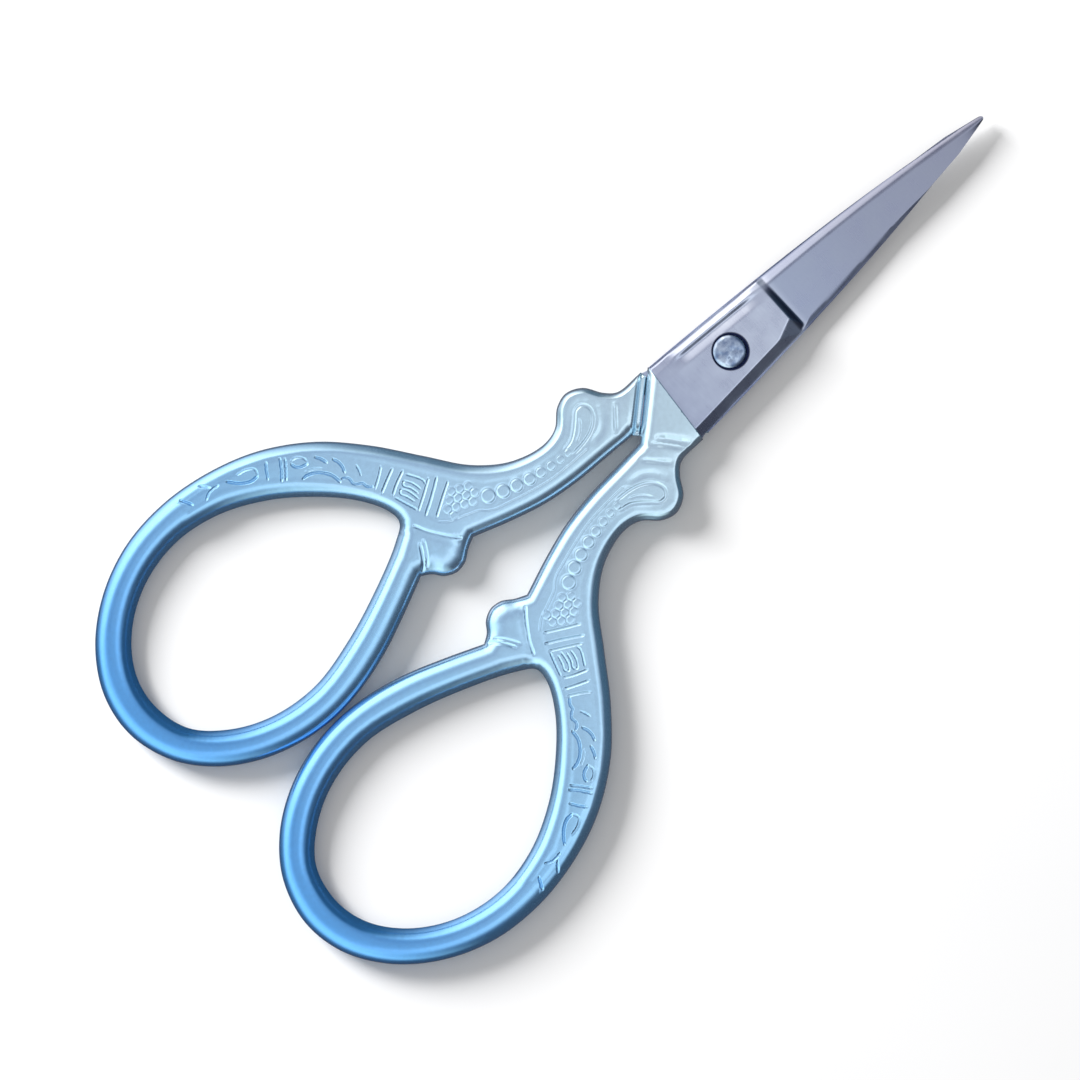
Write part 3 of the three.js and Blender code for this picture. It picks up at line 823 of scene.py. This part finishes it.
def blade_outline():
    """The blade's outline with the tang, counter-clockwise from the spine's rear end."""
    tang = tang_loop()
    xs = np.arange(SPINE[0][0], TIP_X - TIP_RUN, SIDE_STEP)
    spine = np.column_stack([xs, spine_y(xs)])
    back_x, edge_x = TIP_X - TIP_BEND, TIP_X - TIP_EDGE_RUN
    round_tip = [(back_x, TIP_HIGH_Y), (TIP_X, 0.0), (back_x, TIP_LOW_Y)]
    tip = smooth([spine[-1], *round_tip, (edge_x, looked_up(edge_x, EDGE))], TIP_STEP)
    edge_xs = np.arange(TIP_X - 1.0, EDGE[0][0], -SIDE_STEP)
    edge = np.column_stack([edge_xs, looked_up(edge_xs, EDGE)])
    seam_low = crossing(SEAM, np.array([(x, REAR_CORNER_Y) for x in (-9.5, -7.5)]))[0]
    fillet_start = (FILLET_START_X, looked_up(FILLET_START_X, RICASSO_SIDE))
    fillet = smooth([fillet_start, *FILLET, seam_low], FILLET_STEP)
    heel = [EDGE[0], (RICASSO_FRONT[1], EDGE[0][1]), RICASSO_SIDE[1], fillet[0]]
    low_side = np.vstack([even(heel, SIDE_STEP)[:-1], fillet])
    rear_low = even([seam_low, tang[0]], REAR_STEP)
    rear_high = even([tang[-1], spine[0]], REAR_STEP)
    walk = [
        spine[:-1], tip[:-1], edge, low_side[:-1], rear_low[:-1], even(tang, SIDE_STEP)[:-1],
        rear_high[:-1],
    ]
    return np.vstack(walk)[::-1]


def circle(radius, count, centre=(0, 0)):
    angle = np.arange(count) * 2 * math.pi / count
    return np.column_stack([centre[0] + radius * np.cos(angle), centre[1] + radius * np.sin(angle)])


def make_blade(name, recess_radius, recess_depth, conical):
    """A blade with its tang and its recess for the rivet, which is a counterbore or a cone."""
    loop = blade_outline()
    bore = circle(BORE_RADIUS, BORE_SIDES)
    anchor = circle(ANCHOR_RADIUS, ANCHOR_SIDES, ANCHOR_CENTRE)

    def behind_seam(points):
        return ahead(points, SEAM) < -0.002

    def top(points):
        height = blade_top(points)
        radius = np.hypot(*points.T)
        if conical:
            dip = recess_depth * np.clip((recess_radius - radius) / (recess_radius - BORE_RADIUS), 0, 1)
            height = height - dip
        else:
            height = np.where(radius < recess_radius, BLADE_THICKNESS - recess_depth, height)
        on_tang = behind_seam(points) & (points[:, 0] < SEAM[0][0])
        return INNER_FACE_Z + np.where(on_tang, TANG_THICKNESS, height)

    def bottom(points):
        return INNER_FACE_Z + np.where(behind_seam(points), 0, blade_bottom(points))

    def fill(step, margin):
        grid = hex_grid(loop, step)
        grid = grid[~inside(grid, circle(BORE_RADIUS + margin, BORE_SIDES))]
        for edge in (loop, anchor):
            grid = grid[nearest(grid, close(edge))[0] > margin]
        return grid

    shifts = (0,) if conical else (-STEP_GAP, STEP_GAP)
    rings = [close(circle(recess_radius + shift, RECESS_SIDES)) for shift in shifts]
    grid = fill(BLADE_STEP, BLADE_MARGIN)
    on_ring = np.abs(np.hypot(*grid.T) - recess_radius) < RECESS_MARGIN
    shown = grid[:, 0] > SEAM[1][0] - 1
    grid = grid[~on_ring & (shown | (np.arange(len(grid)) % TANG_THINNING == 0))]
    tang = tang_outline(-FIT_GAP)
    sides = tang[:len(TANG_CENTRE)], tang[len(TANG_CENTRE):]
    seam_cut = np.array([crossing(SEAM, side)[0] for side in sides])
    seam_lines = [even(seam_cut + (shift, 0), REAR_STEP) for shift in (-STEP_GAP, STEP_GAP)]
    xs = np.arange(SPINE[0][0] + 0.1, TIP_X - 1.5, SIDE_STEP)
    eased = [np.column_stack([xs, spine_y(xs) - depth]) for depth in EASED_ROWS]
    under = np.vstack([fill(INNER_FACE_STEP, INNER_FACE_MARGIN), *eased])
    return height_solid(name, [loop, bore, anchor], top, bottom, grid, under, rings + seam_lines)


# ---- The rivet ----

HEAD_RISE, HEAD_EDGE_ROUND, HEAD_EDGE_SINK = 0.4, 0.28, 0.1
HEAD_SHOWN_RADIUS, HEAD_OFFSET = 1.83, (-0.1, 0.07)
SEAT_GAP, SHANK_RADIUS, SHANK_END = 0.03, 1.2, 0.5
CENTRE_RADIUS = 0.02
# The tail in the countersink, as radii and shares of the height up to the lower blade's outer face.
TAIL = [(1.75, 1), (1.7, 0.55), (1.58, 0.18), (1.42, 0), (0.9, 0), (0.5, 0), (CENTRE_RADIUS, 0)]
RIVET_SIDES = 96
DENTS = [
    (-1.05, 0.5, 0.5), (-0.5, -0.65, 0.4), (0.5, -0.25, 0.55), (1, -0.7, 0.4), (0.15, 0.55, 0.5),
    (0.5, 1.45, 0.4), (-1.3, -0.6, 0.45), (0.55, -1.3, 0.4), (-0.3, 1.3, 0.4),
]
DENT_DEPTHS = [0.1, 0.11, 0.1, 0.08, -0.04, -0.05, -0.05, -0.03, 0.05]
DENT_SPREAD = 0.6


def rivet_profile(head_edge, seat):
    """Radii and heights from the middle of the head to the middle of the tail."""
    lower_face = HANDLE_TOP - OUTER_FACE_Z
    profile = [(CENTRE_RADIUS, HEAD_TOP)]
    for share in np.linspace(0.08, 0.8, 10):
        rise = HEAD_RISE * math.sqrt(1 - (share * 0.97) ** 2)
        profile.append((HEAD_SHOWN_RADIUS * share, head_edge + rise))
    for angle in np.linspace(0.9, 0, 6):
        r = HEAD_SHOWN_RADIUS - HEAD_EDGE_ROUND * (1 - math.cos(angle))
        profile.append((r, head_edge - HEAD_EDGE_SINK + HEAD_EDGE_ROUND * 1.05 * math.sin(angle)))
    profile += [(HEAD_SHOWN_RADIUS, seat), (SHANK_RADIUS, seat), (SHANK_RADIUS, lower_face + SHANK_END)]
    return profile + [(radius, lower_face * share) for radius, share in TAIL]


def make_rivet(name):
    """A turned rivet with a peened, dented head and tail."""
    head_edge = HEAD_TOP - HEAD_RISE
    seat = OUTER_FACE_Z - COUNTERBORE_DEPTH + SEAT_GAP
    profile = rivet_profile(head_edge, seat)
    co, faces = [], []
    for r, z in profile:
        for k in range(RIVET_SIDES):
            angle = 2 * math.pi * k / RIVET_SIDES
            co.append((r * math.cos(angle), r * math.sin(angle), z))
    for first in range(0, len(co) - RIVET_SIDES, RIVET_SIDES):
        for k in range(RIVET_SIDES):
            a, b = first + k, first + (k + 1) % RIVET_SIDES
            faces.append((a, a + RIVET_SIDES, b + RIVET_SIDES, b))
    faces.append(tuple(range(RIVET_SIDES)))
    faces.append(tuple(range(len(co) - RIVET_SIDES, len(co)))[::-1])
    co = np.array(co)
    on_head = co[:, 2] > head_edge - 0.05
    for (x, y, size), depth in zip(DENTS, DENT_DEPTHS):
        near = np.exp(-((co[:, 0] - x) ** 2 + (co[:, 1] - y) ** 2) / (size * DENT_SPREAD) ** 2)
        co[:, 2] -= np.where(on_head, depth * near, 0)
    co[:, 2] = np.minimum(co[:, 2], HEAD_TOP)
    co[co[:, 2] > seat + 0.1, :2] += HEAD_OFFSET
    return placed(name, smooth_mesh(name, co, faces))


# ---- Turning a piece over for the lower half ----

def turned_over(piece, name):
    """A copy of an upper piece, turned half a turn about X."""
    mesh = piece.data.copy()
    co = np.empty(len(mesh.vertices) * 3)
    mesh.vertices.foreach_get("co", co)
    co = co.reshape(-1, 3) * (1, -1, -1) + (0, 0, HANDLE_TOP * MM)
    mesh.vertices.foreach_set("co", co.ravel())
    mesh.name = name
    return placed(name, mesh)


# ---- Materials ----

def srgb(red, green, blue):
    """A colour given as 0-255 sRGB, as linear values."""
    values = [v / 255 for v in (red, green, blue)]
    return tuple(v / 12.92 if v < 0.04045 else ((v + 0.055) / 1.055) ** 2.4 for v in values) + (1,)


def new_material(name):
    material = bpy.data.materials.new(name)
    material.use_nodes = True
    tree = material.node_tree
    return material, tree, tree.nodes["Principled BSDF"]


def feed(tree, made, values):
    """Gives a node's inputs, by number or name, values or other nodes' outputs."""
    for key, value in values.items():
        if isinstance(value, bpy.types.NodeSocket):
            tree.links.new(value, made.inputs[key])
        else:
            made.inputs[key].default_value = value


def node(tree, kind, settings=None, inputs=(), **named_inputs):
    """Adds a node, with its inputs in order or by name."""
    made = tree.nodes.new(kind)
    for key, value in (settings or {}).items():
        setattr(made, key, value)
    feed(tree, made, {**dict(enumerate(inputs)), **named_inputs})
    return made


def maths(tree, operation, *inputs):
    return node(tree, "ShaderNodeMath", {"operation": operation}, inputs).outputs[0]


def vector_maths(tree, operation, *inputs, result="Vector"):
    return node(tree, "ShaderNodeVectorMath", {"operation": operation}, inputs).outputs[result]


def object_place(tree):
    """The place on the object, and its X, Y and Z."""
    place = node(tree, "ShaderNodeTexCoord").outputs["Object"]
    return place, node(tree, "ShaderNodeSeparateXYZ", Vector=place).outputs


def noise(tree, scale, detail=2.0, stretch=(1, 1, 1)):
    """Noise of a given size in millimetres over the object's own coordinates."""
    place = node(tree, "ShaderNodeTexCoord").outputs["Object"]
    across = tuple(1 / (MM * scale * s) for s in stretch)
    spread = node(tree, "ShaderNodeMapping", Vector=place, Scale=across).outputs[0]
    return node(tree, "ShaderNodeTexNoise", Vector=spread, Scale=1.0, Detail=detail).outputs["Fac"]


def ranged(tree, value, low, high, start=0.0, end=1.0):
    """A value that goes from low to high as the given one goes from start to end."""
    made = node(tree, "ShaderNodeMapRange", Value=value)
    feed(tree, made, {"From Min": start, "From Max": end, "To Min": low, "To Max": high})
    return made.outputs[0]


def ramp(tree, value, stops):
    made = node(tree, "ShaderNodeValToRGB", Fac=value)
    points = made.color_ramp.elements
    for i, (at, colour) in enumerate(stops):
        point = points[i] if i < 2 else points.new(at)
        point.position = at
        point.color = colour
    return made.outputs["Color"]


def mixed_colour(tree, share, first, second):
    """A colour that goes from first to second as share goes from 0 to 1."""
    made = node(tree, "ShaderNodeMix", {"data_type": "RGBA"}, [share])
    colours = [i for i, socket in enumerate(made.inputs) if socket.type == "RGBA"]
    feed(tree, made, dict(zip(colours, (first, second))))
    return next(s for s in made.outputs if s.type == "RGBA")


def bumped(tree, shader, height, strength, depth_mm):
    """Adds bump of a given depth in millimetres to a shader."""
    made = node(tree, "ShaderNodeBump", Height=height, Strength=strength, Distance=depth_mm * MM)
    tree.links.new(made.outputs["Normal"], shader.inputs["Normal"])


HANDLE_COLOURS = [
    (-76.4, (58, 150, 224)), (-70, (74, 157, 225)), (-58, (117, 180, 231)), (-47, (138, 191, 231)),
    (-41, (151, 194, 228)), (-33, (166, 204, 234)), (-22, (171, 204, 228)), (-13, (184, 210, 228)),
    (-8, (188, 213, 229)),
]
# Painted highlight: mottled white mixed into the lacquer round the lug, on both halves.
LUG_HIGHLIGHT_CENTRE, LUG_HIGHLIGHT_REACH, LUG_HIGHLIGHT_SHARE = (-37.9, 4.0, 0), (1.2, 3.0), 1.3
LUG_HIGHLIGHT_COLOUR = (1, 1, 1, 1)
LACQUER = {"Metallic": 0.9, "Coat Weight": 1.0, "Coat IOR": 1.8, "Coat Roughness": 0.14}


def handle_material():
    """Pearly metallic lacquer, azure at the rings and pale at the neck, with a painted mottled white
    highlight on the lug.
    """
    material, tree, shader = new_material("handle_lacquer")
    place, axes = object_place(tree)
    rear, front = HANDLE_COLOURS[0][0], HANDLE_COLOURS[-1][0]
    along = ranged(tree, axes["X"], 0, 1, rear * MM, front * MM)
    shifted = maths(tree, "ADD", along, ranged(tree, noise(tree, 9), -0.02, 0.02))
    stops = [((at - rear) / (front - rear), srgb(*colour)) for at, colour in HANDLE_COLOURS]
    lacquer = ramp(tree, shifted, stops)
    upright = vector_maths(tree, "ABSOLUTE", place)
    lug_place = tuple(abs(v) * MM for v in LUG_HIGHLIGHT_CENTRE)
    lug_gap = vector_maths(tree, "DISTANCE", upright, lug_place, result="Value")
    # Painted highlight on the lug, mottled by noise.
    painted_lug_highlight = ranged(tree, lug_gap, LUG_HIGHLIGHT_SHARE, 0, LUG_HIGHLIGHT_REACH[0] * MM, LUG_HIGHLIGHT_REACH[1] * MM)
    mottled_lug_highlight = maths(tree, "MULTIPLY", painted_lug_highlight, noise(tree, 0.8, 3))
    lacquer = mixed_colour(tree, mottled_lug_highlight, lacquer, LUG_HIGHLIGHT_COLOUR)
    pearl = ranged(tree, noise(tree, 0.5, 3), 1.03, 1.1, 0.3, 0.7)
    scale = {"operation": "SCALE"}
    tinted = node(tree, "ShaderNodeVectorMath", scale, Vector=lacquer, Scale=pearl).outputs[0]
    roughness = ranged(tree, noise(tree, 1.6, 4), 0.19, 0.25, 0.3, 0.7)
    feed(tree, shader, {"Base Color": tinted, "Roughness": roughness, **LACQUER})
    bumped(tree, shader, noise(tree, 0.7, 3), 0.1, 0.02)
    return material


STEEL = [(0.0, srgb(176, 182, 208)), (1.0, srgb(194, 201, 224))]
# Painted light and shade on one steel, from behind the seam to the tip: brighter on the ricasso, darker
# in front of its step and towards the tip.
PAINTED_LIGHT_ALONG = [
    (0, (0.9, 0.92, 0.93, 1)), (0.22, (1.12, 1.12, 1.06, 1)), (0.325, (1.14, 1.14, 1.08, 1)),
    (0.365, (0.62, 0.64, 0.67, 1)), (0.6, (0.55, 0.55, 0.57, 1)), (1, (0.5, 0.48, 0.49, 1)),
]
PAINTED_LIGHT_START_X = -8
# Painted shade: a dark navy ring in the counterbore's gap round the rivet head.
BORE_PAINTED_SHADE = (0.012, 0.018, 0.06, 1)
BORE_SHADE_EDGE = (COUNTERBORE_RADIUS - 0.08, COUNTERBORE_RADIUS + 0.06)
# Painted shade: a dark band in the step in front of the ricasso.
STEP_PAINTED_SHADE = (0.05, 0.055, 0.1, 1)
STEP_SHADE = [(0, 0), (0.3, 0), (0.42, 0.75), (0.6, 0.95), (0.68, 0.6), (0.76, 0), (1, 0)]
STEP_SPAN, STEP_OUTSIDE, STEP_BELOW_SPINE = (6.4, 8.6), (0.1, 0.3), (2.2, 3.1)


def step_shade(tree, axes):
    """How dark the painted shade is in the step in front of the ricasso, on the outer faces alone."""
    across_step = ranged(tree, axes["X"], 0, 1, *(v * MM for v in STEP_SPAN))
    shade = ramp(tree, across_step, [(at, (v, v, v, 1)) for at, v in STEP_SHADE])
    depth = maths(tree, "SUBTRACT", axes["Z"], SHEAR_Z * MM)
    on_outside = ranged(tree, maths(tree, "ABSOLUTE", depth), 0, 1, *(v * MM for v in STEP_OUTSIDE))
    to_spine = maths(tree, "MULTIPLY", axes["Y"], maths(tree, "SIGN", depth))
    below_spine = ranged(tree, to_spine, 1, 0, *(v * MM for v in STEP_BELOW_SPINE))
    return maths(tree, "MULTIPLY", shade, maths(tree, "MULTIPLY", on_outside, below_spine))


def blade_material():
    """Ground steel with a faint lavender cast and grinding lines, painted brighter on the ricasso and
    darker along the blade, with painted shade in the counterbore round the rivet head and in the step
    in front of the ricasso.
    """
    material, tree, shader = new_material("ground_steel")
    lines = noise(tree, 0.12, 3, (1, 16, 16))
    mixed = maths(tree, "MULTIPLY_ADD", lines, 0.35, noise(tree, 2.5, 3))
    steel = ramp(tree, ranged(tree, mixed, 0, 1, 0.4, 0.95), STEEL)
    place, axes = object_place(tree)
    along = ranged(tree, axes["X"], 0, 1, PAINTED_LIGHT_START_X * MM, TIP_X * MM)
    # Painted light and shade along the blade.
    shaded = vector_maths(tree, "MULTIPLY", steel, ramp(tree, along, PAINTED_LIGHT_ALONG))
    # Painted shade in the counterbore's gap round the rivet head.
    flat_place = vector_maths(tree, "MULTIPLY", place, (1, 1, 0))
    radius = vector_maths(tree, "LENGTH", flat_place, result="Value")
    outside_bore_shade = ranged(tree, radius, 0, 1, *(v * MM for v in BORE_SHADE_EDGE))
    painted_shade_steel = mixed_colour(tree, outside_bore_shade, BORE_PAINTED_SHADE, shaded)
    # Painted shade in the step in front of the ricasso.
    painted_shade_steel = mixed_colour(tree, step_shade(tree, axes), painted_shade_steel, STEP_PAINTED_SHADE)
    roughness = ranged(tree, mixed, 0.24, 0.36, 0.4, 0.95)
    feed(tree, shader, {"Base Color": painted_shade_steel, "Roughness": roughness, "Metallic": 1.0})
    bumped(tree, shader, lines, 0.2, 0.012)
    return material


PEENED_STEEL = [(0.0, srgb(118, 136, 170)), (1.0, srgb(188, 202, 224))]


def rivet_material():
    """Bright peened steel, duller and darker in random patches."""
    material, tree, shader = new_material("rivet_steel")
    patches = noise(tree, 0.9, 2)
    steel = ramp(tree, ranged(tree, patches, 0, 1, 0.35, 0.65), PEENED_STEEL)
    roughness = ranged(tree, patches, 0.34, 0.2, 0.35, 0.65)
    feed(tree, shader, {"Base Color": steel, "Roughness": roughness, "Metallic": 1.0})
    bumped(tree, shader, noise(tree, 0.3, 2), 0.3, 0.015)
    return material


def floor_material():
    material, tree, shader = new_material("floor_white")
    tone = ramp(tree, noise(tree, 60, 2), [(0.0, (0.86, 0.86, 0.87, 1)), (1.0, (0.9, 0.9, 0.9, 1))])
    feed(tree, shader, {"Base Color": tone, "Roughness": 1.0, "Specular IOR Level": 0.0})
    return material


# ---- The object ----

def dress(piece, body, cad_node, material):
    piece.data.materials.append(material)
    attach(piece, body)
    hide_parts(cad_node)


lacquer, ground, peened = handle_material(), blade_material(), rivet_material()
upper_handle = make_handle("upper_handle_cast")
lower_handle = turned_over(upper_handle, "lower_handle_cast")
upper_blade = make_blade("upper_blade_ground", COUNTERBORE_RADIUS, COUNTERBORE_DEPTH, conical=False)
lower_blade_blank = make_blade("lower_blade_blank", COUNTERSINK_RADIUS, COUNTERSINK_DEPTH, conical=True)
lower_blade = turned_over(lower_blade_blank, "lower_blade_ground")
bpy.data.objects.remove(lower_blade_blank)
rivet = make_rivet("rivet_peened")

dress(upper_handle, "upper_half", "upper_handle", lacquer)
dress(lower_handle, "lower_half", "lower_handle", lacquer)
dress(upper_blade, "upper_half", "upper_blade", ground)
dress(lower_blade, "lower_half", "lower_blade", ground)
dress(rivet, "lower_half", "pivot_rivet", peened)


# ---- Floor, lights and camera, in metres ----

FLOOR_REACH = 4
LIT_PLACE = Vector((-0.029, -0.001, 0))
KEY_AZIMUTH, KEY_ZENITH, KEY_DISTANCE = 101, 62, 0.7
KEY_SIZE, KEY_RADIANCE = (0.3, 0.3), 30
AMBIENT = 0.51

# What reflections see, by the angle from overhead in degrees: across the scissors from the dark
# -Y side to the bright window on +Y, which reaches below the floor's level, and along them.
ACROSS = [
    (-180, (0.1, 0.1, 0.12)), (-62, (0.1, 0.11, 0.13)), (-48, (0.18, 0.2, 0.24)),
    (-38, (0.6, 0.65, 0.7)), (-30, (1.2, 1.25, 1.25)), (-16, (1.3, 1.35, 1.35)),
    (-7, (0.8, 0.84, 0.87)), (0, (0.75, 0.78, 0.8)), (10, (0.72, 0.74, 0.78)), (20, (0.56, 0.58, 0.64)),
    (32, (0.6, 0.61, 0.66)), (40, (1.2, 1.2, 1.15)), (50, (2.3, 2.2, 2)), (75, (2.3, 2.2, 2)),
    (100, (1.5, 1.5, 1.5)), (118, (0.8, 0.82, 0.9)), (130, (0.12, 0.11, 0.14)),
    (180, (0.1, 0.1, 0.12)),
]
ALONG = [
    (-180, (0.1, 0.1, 0.12)), (-125, (0.1, 0.12, 0.15)), (-98, (0.25, 0.3, 0.34)),
    (-80, (1.1, 1.25, 1.2)), (-68, (1.6, 1.75, 1.65)), (-38, (1.6, 1.75, 1.65)),
    (-22, (0.9, 0.95, 0.96)), (0, (0.75, 0.78, 0.8)), (25, (0.6, 0.62, 0.66)), (42, (0.5, 0.54, 0.6)),
    (58, (0.09, 0.15, 0.2)), (180, (0.03, 0.09, 0.13)),
]
ALONG_TILT = (0.3, 0.8)
CAMERA_TURN = -42.95
CAMERA_TARGET = Vector((-29.2, -0.9, 0)) * MM
FRAME_WIDTH = 118.04 * MM
LENS, SENSOR_WIDTH = 300.0, 36.0


def make_floor():
    mesh = bpy.data.meshes.new("floor")
    corners = [(x * FLOOR_REACH, y * FLOOR_REACH, 0) for x, y in ((-1, -1), (1, -1), (1, 1), (-1, 1))]
    mesh.from_pydata(corners, [], [(0, 1, 2, 3)])
    floor = placed("floor", mesh)
    mesh.materials.append(floor_material())
    floor.visible_glossy = False


def make_key_light():
    """A lamp for the floor's soft shadow and the lacquer's dull share. Reflections see the studio."""
    lamp = bpy.data.lights.new("key", "AREA")
    lamp.shape = "RECTANGLE"
    lamp.size, lamp.size_y = KEY_SIZE
    lamp.energy = KEY_RADIANCE * math.pi * lamp.size * lamp.size_y
    lamp_object = placed("key", lamp)
    azimuth, zenith = math.radians(KEY_AZIMUTH), math.radians(KEY_ZENITH)
    level = math.sin(zenith)
    away = Vector((level * math.cos(azimuth), level * math.sin(azimuth), math.cos(zenith)))
    lamp_object.location = LIT_PLACE + away * KEY_DISTANCE
    to_target = LIT_PLACE - lamp_object.location
    lamp_object.rotation_euler = to_target.to_track_quat("-Z", "Y").to_euler()
    lamp_object.visible_camera = False
    lamp_object.visible_glossy = False


def make_studio():
    """A world that reflections see as a studio, and all else as even light."""
    world = bpy.data.worlds.new("studio")
    world.use_nodes = True
    tree = world.node_tree
    direction = node(tree, "ShaderNodeTexCoord").outputs["Generated"]
    part = node(tree, "ShaderNodeSeparateXYZ", Vector=direction).outputs

    def seen(sideways, stops):
        angle = maths(tree, "ARCTAN2", sideways, part["Z"])
        turn = ranged(tree, angle, 0, 1, -math.pi, math.pi)
        return ramp(tree, turn, [((at + 180) / 360, colour + (1,)) for at, colour in stops])

    along_share = ranged(tree, maths(tree, "ABSOLUTE", part["X"]), 0, 1, *ALONG_TILT)
    pattern = mixed_colour(tree, along_share, seen(part["Y"], ACROSS), seen(part["X"], ALONG))
    glossy = node(tree, "ShaderNodeLightPath").outputs["Is Glossy Ray"]
    shown = mixed_colour(tree, glossy, (AMBIENT, AMBIENT, AMBIENT, 1), pattern)
    tree.links.new(shown, tree.nodes["Background"].inputs["Color"])
    world.cycles.sampling_method = "NONE"
    bpy.context.scene.world = world


def make_camera():
    """Looks straight down, turned as in the photo."""
    camera = bpy.data.cameras.new("camera")
    camera.lens, camera.sensor_width = LENS, SENSOR_WIDTH
    camera_object = placed("camera", camera)
    camera_object.location = CAMERA_TARGET + Vector((0, 0, FRAME_WIDTH * LENS / SENSOR_WIDTH))
    camera_object.rotation_euler = (0, 0, math.radians(CAMERA_TURN))
    bpy.context.scene.camera = camera_object


make_floor()
make_key_light()
make_studio()
make_camera()
bpy.context.scene.view_settings.view_transform = "Standard"
